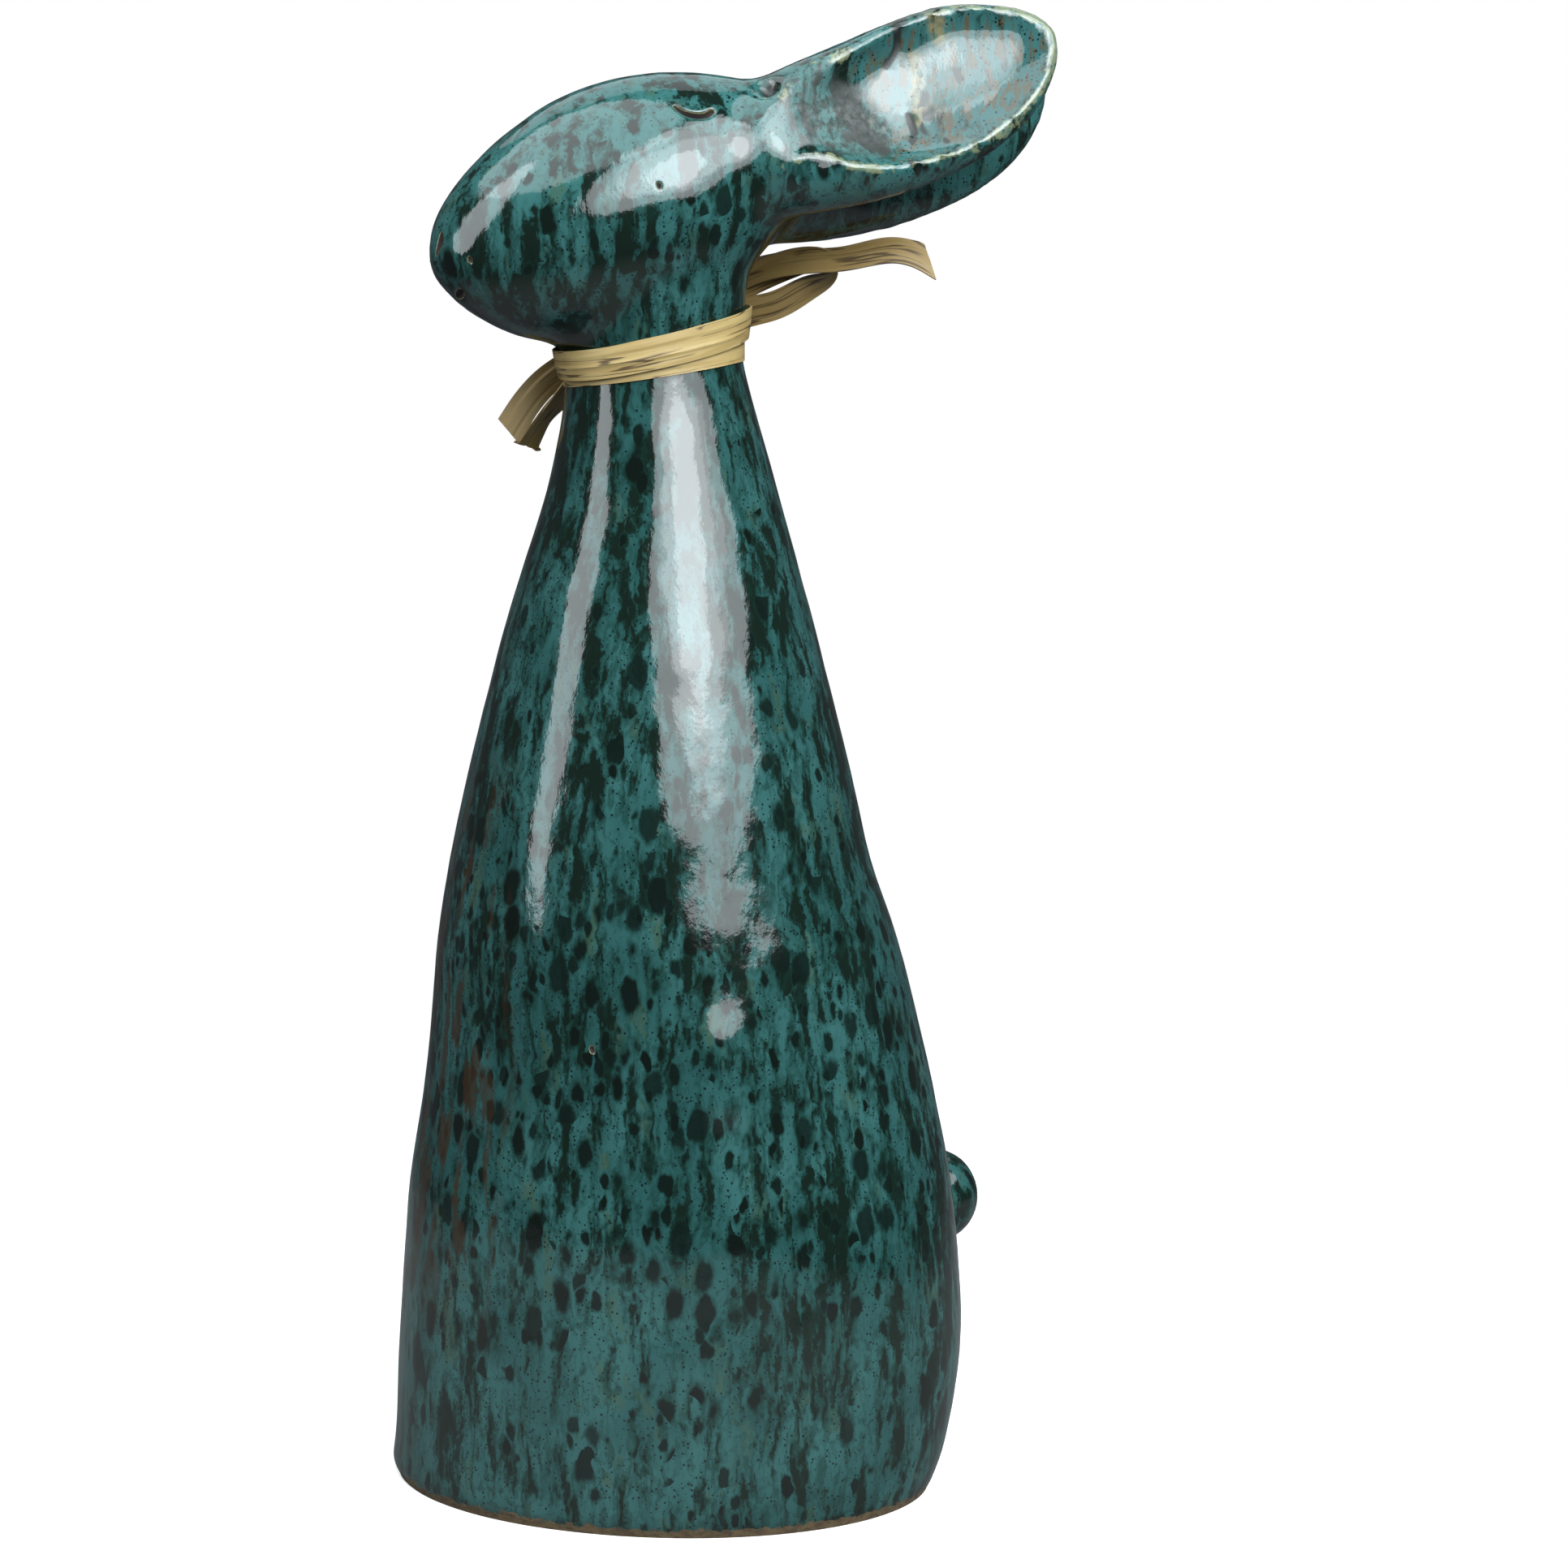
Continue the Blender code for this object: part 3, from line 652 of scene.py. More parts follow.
def tail_form():
    """The ball tail on the middle of the back."""
    curve = spline(BODY_STATIONS, LOOKUP_STEPS)
    middle, long_half, short_half = [np.interp(TAIL_HEIGHT, curve[:, 0], curve[:, k]) for k in (1, 2, 3)]
    turn = radians(OVAL_TURN)
    reach = long_half * short_half / hypot(short_half * cos(turn), long_half * sin(turn))
    mesh = bmesh.new()
    place = Matrix.Translation((0.0, (middle + reach + TAIL_STAND) * UNIT, TAIL_HEIGHT * UNIT))
    around, upward = TAIL_SIDES
    bmesh.ops.create_uvsphere(mesh, u_segments=around, v_segments=upward, radius=TAIL_RADIUS, matrix=place)
    return new_object("tail_form", mesh)


def ground_cutter():
    mesh = bmesh.new()
    place = Matrix.Translation((0.0, 0.0, -HARE_HEIGHT / 2)) @ Matrix.Scale(HARE_HEIGHT, 4)
    bmesh.ops.create_cube(mesh, size=1.0, matrix=place)
    return new_object("ground_cutter", mesh)


def fuse(name, things):
    mesh = bmesh.new()
    for thing in things:
        mesh.from_mesh(thing.data)
        bpy.data.objects.remove(thing)
    return new_object(name, mesh)


def neighbour_mean(values, edges):
    """The mean of each row's neighbours along the edges."""
    count = np.bincount(edges.ravel(), minlength=len(values)).astype(float)
    total = np.zeros_like(values)
    np.add.at(total, edges[:, 0], values[edges[:, 1]])
    np.add.at(total, edges[:, 1], values[edges[:, 0]])
    return total / (count[:, None] if values.ndim > 1 else count)


def soften(points, edges, weights, rounds):
    """Move each point towards the mean of its neighbours, by its own weight."""
    for _ in range(rounds):
        points = points + weights[:, None] * 0.5 * (neighbour_mean(points, edges) - points)
    return points


def mesh_values(items, name, width, kind=float):
    values = np.empty(len(items) * width, kind)
    items.foreach_get(name, values)
    return values.reshape(-1, width)


def points_and_edges(data):
    return mesh_values(data.vertices, "co", 3), mesh_values(data.edges, "vertices", 2, int)


def move_points(data, points):
    data.vertices.foreach_set("co", points.ravel())
    data.update()


def onto_body(points):
    """The points moved straight out or in to the body's drawn surface."""
    rows = np.array(body_rows())
    rows = rows[np.argsort(rows[:, 0])]
    back, long_half, short_half = [np.interp(points[:, 2], rows[:, 0], rows[:, k]) for k in (1, 2, 3)]
    along, across = [np.array(axis)[:2] for axis in oval_axes()]
    flat = points[:, :2] - np.stack([np.zeros_like(back), back], axis=1)
    u, v = flat @ along / long_half, flat @ across / short_half
    size = np.maximum(np.hypot(u, v), 1e-6)
    made = points.copy()
    made[:, :2] = (np.outer(u / size * long_half, np.ones(2)) * along
                   + np.outer(v / size * short_half, np.ones(2)) * across)
    made[:, 1] += back
    return made


def skin_tree(figure):
    mesh = bmesh.new()
    mesh.from_mesh(figure.data)
    tree = BVHTree.FromBMesh(mesh)
    mesh.free()
    return tree


def mark_line(tree, stops, mirrored):
    """Places on the skin under picture points, with half width and depth, or on the right side instead."""
    eye = camera_axes()[0]
    middle, _, side, _ = head_frame()
    line = []
    for x, y, half, depth in spline(stops, MARK_STEPS):
        point = tree.ray_cast(eye, sight(x, y))[0]
        if point is None:
            point = tree.find_nearest(eye + sight(x, y) * eye.length)[0]
        if mirrored:
            point = tree.find_nearest(point - side * 2 * (point - middle).dot(side))[0]
        line.append((*point, half * UNIT, depth * UNIT))
    return np.array(line)


def both_sides(tree, marks):
    """The marks on the left side, each followed by its mirror image on the right."""
    return [mark_line(tree, stops, mirrored) for stops in marks for mirrored in (False, True)]


def split_near(figure, lines, room, times):
    """Finer faces near the marks."""
    mesh = bmesh.new()
    mesh.from_mesh(figure.data)
    for line in lines:
        middle = Vector(line[:, :3].mean(axis=0))
        length = max((Vector(p) - middle).length for p in line[:, :3])
        reach = length + float(line[:, 3].max()) * SPLIT_SPREAD + room
        for _ in range(times):
            near = [e for e in mesh.edges if (e.verts[0].co - middle).length < reach
                    and (e.verts[1].co - middle).length < reach]
            bmesh.ops.subdivide_edges(mesh, edges=near, cuts=1, use_grid_fill=True)
            reach -= room / (times + 1)
    mesh.to_mesh(figure.data)
    mesh.free()


def near_line(points, line):
    """For points near a mark, how much they belong to it and how deep it is there."""
    gaps = np.linalg.norm(points[:, None, :] - line[None, :, :3], axis=2)
    best = np.argmin(gaps / line[None, :, 3], axis=1)
    rows = np.arange(len(points))
    return np.exp(-(gaps[rows, best] / line[best, 3]) ** 2), line[best, 4]


def press_troughs(figure):
    """Dip and soften the front of each ear, where its surface runs into the hollow."""
    data = figure.data
    points, edges = points_and_edges(data)
    left = np.array(head_frame()[2])
    weights = np.zeros(len(points))
    for line, side in zip(both_sides(skin_tree(figure), [TROUGH]), (1, -1)):
        share, depth = near_line(points, line)
        points -= left * side * (share * depth)[:, None]
        weights = np.maximum(weights, np.minimum(TROUGH_SPREAD * share, 1.0))
    move_points(data, soften(points, edges, weights, TROUGH_ROUNDS))


def hollow_share(points, normals):
    """How far each point lies in the hollow of an ear, from 0 to 1."""
    middle, ahead, left, top = [np.array(v) for v in head_frame()]
    local = (points - middle) / UNIT
    share = np.zeros(len(points))
    for side in (1, -1):
        back = -(local @ ahead) / ear_stretch(side)
        up, out, height, thick = ear_at(back)
        across = (local @ top - up) / height
        outward = side * (local @ left)
        depth = out + thick * np.sqrt(np.clip(1 - across ** 2, 0, 1)) - outward
        inside = smooth_share(depth, *HOLLOW_DEPTH) * smooth_share(side * (normals @ left), *HOLLOW_FACING)
        inside *= smooth_share(back, *HOLLOW_BACK) * (np.abs(across) < 1) * (outward > HOLLOW_OUTWARD)
        share = np.maximum(share, inside)
    return share


def glaze_waves(points):
    """How much thicker or thinner than even the glaze is at each point, between about -1 and 1."""
    places = points * np.array(WAVE_FLATTENING) / WAVE_LENGTH + WAVE_SEED
    share, shorter = RIPPLES
    return np.array([noise.noise(Vector(p)) + share * noise.noise(Vector(p) * shorter) for p in places])


def sharp_rims(points, normals, edges):
    """How far each point lies on a sharp rim, from 0 to 1."""
    ridge = -np.sum((neighbour_mean(points, edges) - points) * normals, axis=1)
    rim = smooth_share(ridge, *RIDGE_HEIGHT)
    for _ in range(RIM_ROUNDS):
        rim = 0.5 * rim + 0.5 * neighbour_mean(rim, edges)
    return rim * smooth_share(points[:, 2], *RIM_FADE)


def add_marks(figure):
    """Eyes, muzzle marks, pits, dents and the folds of the ears, and the wavy thickness of the glaze."""
    tree = skin_tree(figure)
    coloured = both_sides(tree, [EYE_MARK])
    eyes = coloured[:2]
    coloured += [mark_line(tree, stops, False) for stops in (MUZZLE_MARK, CHIN_MARK, *PITS)]
    plain = both_sides(tree, (*EAR_MARKS, ROOT_DENT))
    bump = mark_line(tree, BODY_BUMP, False)
    drips_and_shade = both_sides(tree, [((x, top, half, 0.0), (x + DRIP_SHIFT, low, half * DRIP_TAPER, 0.0))
                              for x, top, low, half in DRIPS])
    # the drips and the brow are dark glaze; the lines at the front of the ears add painted shade
    drips_and_shade += both_sides(tree, GATHERS_AND_SHADE)
    stains = both_sides(tree, STAINS)
    crinkles_and_shade = both_sides(tree, CRINKLES_AND_SHADE)
    creases = [line for line in plain if line[:, 3].max() < CREASE_WIDTH * UNIT]
    split_near(figure, eyes, EYE_ROOM, 1)
    split_near(figure, coloured, MARK_ROOM, 2)
    split_near(figure, creases, CREASE_ROOM, 1)

    data = figure.data
    points, edges = points_and_edges(data)
    close = np.zeros(len(points))
    for line in coloured + plain + drips_and_shade:
        reach = np.ptp(line[:, :3], axis=0).max() / 2 + MARK_MARGIN
        close = np.maximum(close, np.linalg.norm(points - line[:, :3].mean(axis=0), axis=1) < reach)
    points = soften(points, edges, close, MARK_ROUNDS)
    normals = mesh_values(data.vertices, "normal", 3)
    depths = WAVE_DEPTH * glaze_waves(points) * smooth_share(points[:, 2], *WAVE_FADE)
    points += normals * depths[:, None]

    layers = dict(zip(("carved", "pooled", "gathered_and_shaded", "stained", "crinkled_and_shaded"), np.zeros((5, len(points)))))
    layers["hollow"] = hollow_share(points, normals)
    for lines, name in ((coloured, "carved"), (plain, "pooled"), ([bump], None), (drips_and_shade, "gathered_and_shaded"),
                        (stains, "stained"), (crinkles_and_shade, "crinkled_and_shaded")):
        for line in lines:
            reach = np.ptp(line[:, :3], axis=0).max() + line[:, 3].max() * MARK_REACH
            near = np.flatnonzero(np.linalg.norm(points - line[:, :3].mean(axis=0), axis=1) < reach)
            share, depth = near_line(points[near], line)
            points[near] -= normals[near] * (share * depth)[:, None]
            if name:
                layers[name][near] = np.maximum(layers[name][near], share * (depth >= 0))
    move_points(data, points)
    layers["rim"] = sharp_rims(points, normals, edges)
    for name, values in layers.items():
        data.attributes.new(name, "FLOAT", "POINT").data.foreach_set("value", values)


def hare():
    """The whole ceramic figure as one fine skin."""
    figure = fuse("hare_figure", [loft("body_form", [oval(*row) for row in body_rows()]), head_form(),
                                  ear_form(1), ear_form(-1), tail_form()])
    remesh(figure, FORM_VOXEL, FORM_ROUNDS)
    for side in (1, -1):
        cut(figure, hollow_cutter(side))
    remesh(figure, FINE_VOXEL, FINE_ROUNDS)
    data = figure.data
    points, edges = points_and_edges(data)
    middle, ahead = [np.array(v) for v in head_frame()[:2]]
    ears = smooth_share(-(points - middle) @ ahead / UNIT, *EAR_FADE)
    calm = np.where(points[:, 2] > NECK_FADE[0], 1.0 - ears, 1.0)
    points = soften(points, edges, calm, CALM_ROUNDS)
    share = (smooth_share(points[:, 2], *NECK_FADE) * smooth_share(points[:, 2], *FOOT_FADE)
             * smooth_share(np.linalg.norm(points - np.array(TAIL_MIDDLE), axis=1), *TAIL_FADE))
    move_points(data, points + (onto_body(points) - points) * share[:, None])
    cut(figure, ground_cutter())
    press_troughs(figure)
    add_marks(figure)
    figure.data.shade_smooth()
    figure.data.set_sharp_from_angle(angle=radians(GLAZE_CORNER))
    return figure


# The raffia

def neck_axis(height):
    """Point of the neck's axis at a height."""
    return Vector((0.0, NECK_MIDDLE * UNIT, height))


def level_way(bearing):
    """Level direction at a bearing."""
    return Vector((cos(bearing), sin(bearing), 0.0))


def neck_reach(tree, bearing, height):
    """Distance from the neck's axis to its skin at a bearing and height."""
    start = neck_axis(height)
    return (tree.ray_cast(start, level_way(bearing))[0] - start).length


def tie_frame(tree):
    """The knot's middle, and the directions towards the back, away from the neck and upward."""
    bearing = radians(KNOT_BEARING)
    away = level_way(bearing)
    up = Vector((0.0, 0.0, 1.0))
    share = (1 + sin(bearing)) / 2
    height = sum(strand[0] + (strand[1] - strand[0]) * share for strand in (LOWER_STRAND, UPPER_STRAND)) / 2
    reach = neck_reach(tree, bearing, height * UNIT) + RAFFIA_GAP + KNOT_STAND
    return neck_axis(height * UNIT) + away * reach, away.cross(up), away, up


def strip_rows(stops, frame):
    """Middle line and crosswise direction of a strip, from stops in the tie's frame."""
    middle, back, away, up = frame
    rows = spline(stops, LOFT_STEPS)
    points = [middle + (back * row[0] + away * row[1] + up * row[2]) * UNIT for row in rows]
    made = []
    for k, point in enumerate(points):
        along = (points[min(k + 1, len(points) - 1)] - points[max(k - 1, 0)]).normalized()
        near = (-away - along * along.dot(-away)).normalized()
        turn = radians(rows[k][3])
        made.append((point, near * cos(turn) + along.cross(near) * sin(turn)))
    return made


def band_rows(tree):
    """Middle line and crosswise direction of the two turns round the neck, the second over the first."""
    made = []
    for angle in np.arange(KNOT_BEARING - BAND_START, KNOT_BEARING - BAND_END, -BAND_STEP):
        bearing = radians(angle)
        over = float(smooth_share(KNOT_BEARING - angle, *BAND_CROSSING))
        front, rear = [low + (high - low) * over for low, high in zip(LOWER_STRAND, UPPER_STRAND)]
        height = (front + (rear - front) * (1 + sin(bearing)) / 2) * UNIT
        low, high = height - RAFFIA_WIDTH / 2, height + RAFFIA_WIDTH / 2
        near_low, near_middle, near_high = [neck_reach(tree, bearing, z) for z in (low, height, high)]
        clear = max(0.0, near_middle - (near_low + near_high) / 2) + RAFFIA_GAP + UPPER_LIFT * over
        bottom = neck_axis(low) + level_way(bearing) * (near_low + clear)
        top = neck_axis(high) + level_way(bearing) * (near_high + clear)
        made.append(((bottom + top) / 2, (top - bottom).normalized()))
    return made


def join_rows(*runs):
    """One run of rows from several, with crosswise directions that never flip over."""
    rows = [row for run in runs for row in run]
    made = [rows[0]]
    for point, across in rows[1:]:
        if across.dot(made[-1][1]) < 0:
            across = -across
        if (point - made[-1][0]).length > ROW_GAP:
            made.append((point, across))
    return made


def unit_rows(rows):
    return rows / np.linalg.norm(rows, axis=1)[:, None]


def even_rows(rows, spacing):
    """The rows at even distances along the middle line."""
    points = np.array([row[0] for row in rows])
    across = np.array([row[1] for row in rows])
    reach = np.concatenate([[0.0], np.cumsum(np.linalg.norm(np.diff(points, axis=0), axis=1))])
    stops = np.linspace(0.0, reach[-1], round(reach[-1] / spacing) + 1)
    points = np.stack([np.interp(stops, reach, points[:, k]) for k in range(3)], axis=1)
    across = np.stack([np.interp(stops, reach, across[:, k]) for k in range(3)], axis=1)
    for _ in range(ROW_ROUNDS):
        points[1:-1] = (points[:-2] + 2 * points[1:-1] + points[2:]) / 4
        across[1:-1] = (across[:-2] + 2 * across[1:-1] + across[2:]) / 4
    along = unit_rows(np.gradient(points, axis=0))
    across = unit_rows(across - along * np.sum(across * along, axis=1)[:, None])
    return points, across, np.cross(along, across), stops


def waves(stops, seed, size):
    """A smooth random run of values between about -1 and 1, with bumps of the given length."""
    chance = np.random.default_rng(seed)
    knots = np.arange(-2 * size, stops[-1] + 3 * size, size)
    values = chance.uniform(-1, 1, len(knots))
    fine = spline(np.stack([knots, values], axis=1), 6)
    return np.interp(stops, fine[:, 0], fine[:, 1])


def strip_grid(points, across, out, stops, seed, slants):
    """Lines of points along the strip, one for each place across it, and those places."""
    def uneven(offset, values):
        mean, swing, length = values
        return mean + swing * waves(stops, seed + offset, length)

    half = RAFFIA_WIDTH / 2
    width = half * uneven(0, STRIP_WIDTH)
    fold_place = uneven(1, FOLD_PLACE)
    fold_depth = np.maximum(uneven(2, FOLD_DEPTH), 0.0)
    pleat_place = uneven(3, PLEAT_PLACE)
    pleat_depth = uneven(4, PLEAT_DEPTH)
    curl = uneven(9, CURL)
    along = unit_rows(np.gradient(points, axis=0))
    slant = half * (slants[0] * smooth_share(stops, CUT_LENGTH, 0.0)
                    + slants[1] * smooth_share(stops, stops[-1] - CUT_LENGTH, stops[-1]))
    shares = np.linspace(-1.0, 1.0, STRIP_SIDES)
    grid = []
    for k, share in enumerate(shares):
        edge = uneven(20 + k, STRIP_EDGE) if abs(share) > EDGE_FROM else 1.0
        lift = -fold_depth * np.exp(-((share - fold_place) / FOLD_SPREAD) ** 2)
        lift += pleat_depth * np.tanh((share - pleat_place) / PLEAT_SPREAD)
        lift += curl * (share ** 2 - CURL_LEVEL)
        grid.append(points + across * (width * share * edge)[:, None] + out * lift[:, None]
                    + along * (slant * share)[:, None])
    return grid, shares


def raffia_strip(name, rows, seed, slants=(0.0, 0.0)):
    """A thin creased strip of raffia along rows, with uneven edges and slanted cut ends."""
    points, across, out, stops = even_rows(rows, ROW_SPACING)
    grid, shares = strip_grid(points, across, out, stops, seed, slants)
    mesh = bmesh.new()
    layer = mesh.loops.layers.uv.new("fibre")
    skins = []
    for sign in (1, -1):
        skins.append([[mesh.verts.new(p) for p in line + out * (sign * RAFFIA_SKIN / 2)] for line in grid])
    place = {}
    for skin in skins:
        for k, line in enumerate(skin):
            for j, vert in enumerate(line):
                place[vert] = (shares[k] * 0.5 + 0.5, stops[j] / RAFFIA_WIDTH)

    def face(*verts):
        made = mesh.faces.new(verts)
        for loop in made.loops:
            loop[layer].uv = place[loop.vert]

    last, count = len(shares) - 1, len(stops)
    for k in range(last):
        for j in range(count - 1):
            face(skins[0][k][j], skins[0][k][j + 1], skins[0][k + 1][j + 1], skins[0][k + 1][j])
            face(skins[1][k][j], skins[1][k + 1][j], skins[1][k + 1][j + 1], skins[1][k][j + 1])
        for j in (0, count - 1):
            face(skins[0][k][j], skins[0][k + 1][j], skins[1][k + 1][j], skins[1][k][j])
    for j in range(count - 1):
        for k in (0, last):
            face(skins[0][k][j], skins[1][k][j], skins[1][k][j + 1], skins[0][k][j + 1])
    bmesh.ops.recalc_face_normals(mesh, faces=mesh.faces)
    made = new_object(name, mesh)
    made.data.shade_smooth()
    made.data.set_sharp_from_angle(angle=radians(RAFFIA_CORNER))
    return made, points, stops[-1]


def knot_rows(frame):
    """A strip wound round the crossing of the ends, across the band."""
    middle, back, away, up = frame
    made = []
    for k in range(round(KNOT_TURNS * KNOT_STEPS) + 1):
        angle = 2 * pi * k / KNOT_STEPS
        inward = KNOT_REACH * cos(angle)
        upward = KNOT_RISE * sin(angle)
        drift = KNOT_DRIFT * sin(angle / 2 + KNOT_PHASE)
        point = middle + (away * inward + up * upward + back * drift) * UNIT
        made.append((point, (back + up * KNOT_TILT * sin(angle)).normalized()))
    return made


def raffia_tie(figure):
    """The whole strand from end to end, and the short turn that binds the knot."""
    tree = skin_tree(figure)
    frame = tie_frame(tree)
    last_runs = [strip_rows(stops, frame) for stops in (BOW_LOOP, FLAT_LOOP, FLAT_RETURN, BACK_END)]
    rows = join_rows(strip_rows(FRONT_END, frame)[::-1], band_rows(tree), *last_runs)
    strand, points, length = raffia_strip("raffia_strand", rows, STRAND_SEED, END_SLANTS)
    binding, _, _ = raffia_strip("raffia_knot", join_rows(knot_rows(frame)), KNOT_SEED)
    straw = raffia_straw()
    for piece in (strand, binding):
        piece.data.materials.append(straw)
        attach(piece, "root")
        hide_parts("raffia_tie")


# Materials

class Graph:
    """Nodes of one material, built in reading order."""

    def __init__(self, name):
        self.material = bpy.data.materials.new(name)
        self.material.use_nodes = True
        self.tree = self.material.node_tree
        self.shader = self.tree.nodes["Principled BSDF"]

    def node(self, kind, **settings):
        made = self.tree.nodes.new("ShaderNode" + kind)
        for name, value in settings.items():
            setattr(made, name, value)
        return made

    def put(self, socket, value):
        if isinstance(value, bpy.types.NodeSocket):
            self.tree.links.new(value, socket)
        else:
            socket.default_value = (*value, 1.0) if socket.type == "RGBA" else value

    def math(self, operation, *values):
        made = self.node("Math", operation=operation)
        for socket, value in zip(made.inputs, values):
            self.put(socket, value)
        return made.outputs[0]

    def times(self, first, second):
        return self.math("MULTIPLY", first, second)

    def plus(self, first, second):
        return self.math("ADD", first, second)

    def minus(self, first, second):
        return self.math("SUBTRACT", first, second)

    def most(self, first, second):
        return self.math("MAXIMUM", first, second)

    def point_value(self, name):
        """A value that the mesh holds at its points."""
        return self.node("Attribute", attribute_name=name).outputs["Fac"]

    def vector(self, operation, *values):
        made = self.node("VectorMath", operation=operation)
        for socket, value in zip(made.inputs, values):
            self.put(socket, value)
        return made.outputs[0]

    def step(self, value, low, high):
        """Smooth rise from 0 at low to 1 at high."""
        made = self.node("MapRange", interpolation_type="SMOOTHSTEP")
        for name, entry in (("Value", value), ("From Min", low), ("From Max", high)):
            self.put(made.inputs[name], entry)
        return made.outputs["Result"]

    def scale(self, value, low, high, first, last):
        """Straight line from first at low to last at high, held beyond both."""
        made = self.node("MapRange")
        for name, entry in (("Value", value), ("From Min", low), ("From Max", high), ("To Min", first),
                            ("To Max", last)):
            self.put(made.inputs[name], entry)
        return made.outputs["Result"]

    def mix(self, share, first, second):
        made = self.node("Mix", data_type="RGBA")
        for socket, value in zip((made.inputs["Factor"], made.inputs["A"], made.inputs["B"]),
                                 (share, first, second)):
            self.put(socket, value)
        return made.outputs["Result"]

    def noise(self, place, sizes, detail, rough, output="Fac"):
        """Noise whose lumps have the given size along each axis."""
        made = self.node("TexNoise")
        self.put(made.inputs["Vector"], self.vector("DIVIDE", place, sizes))
        made.inputs["Scale"].default_value = 1.0
        made.inputs["Detail"].default_value = detail
        made.inputs["Roughness"].default_value = rough
        return made.outputs[output]

    def swayed(self, start, place, sizes, reach):
        """The places in start, pushed about by the soft noise at place, so that edges wander."""
        push = self.vector("SUBTRACT", self.noise(place, sizes, 3.0, 0.5, "Color"), (0.5, 0.5, 0.5))
        return self.vector("ADD", start, self.vector("MULTIPLY", push, reach))

    def cells(self, place, sizes):
        """Distance to the nearest cell centre, and three random values of that cell."""
        made = self.node("TexVoronoi")
        self.put(made.inputs["Vector"], self.vector("DIVIDE", place, sizes))
        made.inputs["Scale"].default_value = 1.0
        parts = self.node("SeparateColor")
        self.put(parts.inputs["Color"], made.outputs["Color"])
        return made.outputs["Distance"], *parts.outputs

    def blob(self, gap, reach, blur):
        """1 inside a radius and 0 outside, with an edge that fades outward and inward."""
        outward, inward = blur
        return self.step(gap, self.plus(reach, outward), self.minus(reach, inward))

    def bump(self, height, distance, strength):
        made = self.node("Bump")
        made.inputs["Distance"].default_value = distance
        made.inputs["Strength"].default_value = strength
        self.put(made.inputs["Height"], height)
        self.put(self.shader.inputs["Normal"], made.outputs["Normal"])


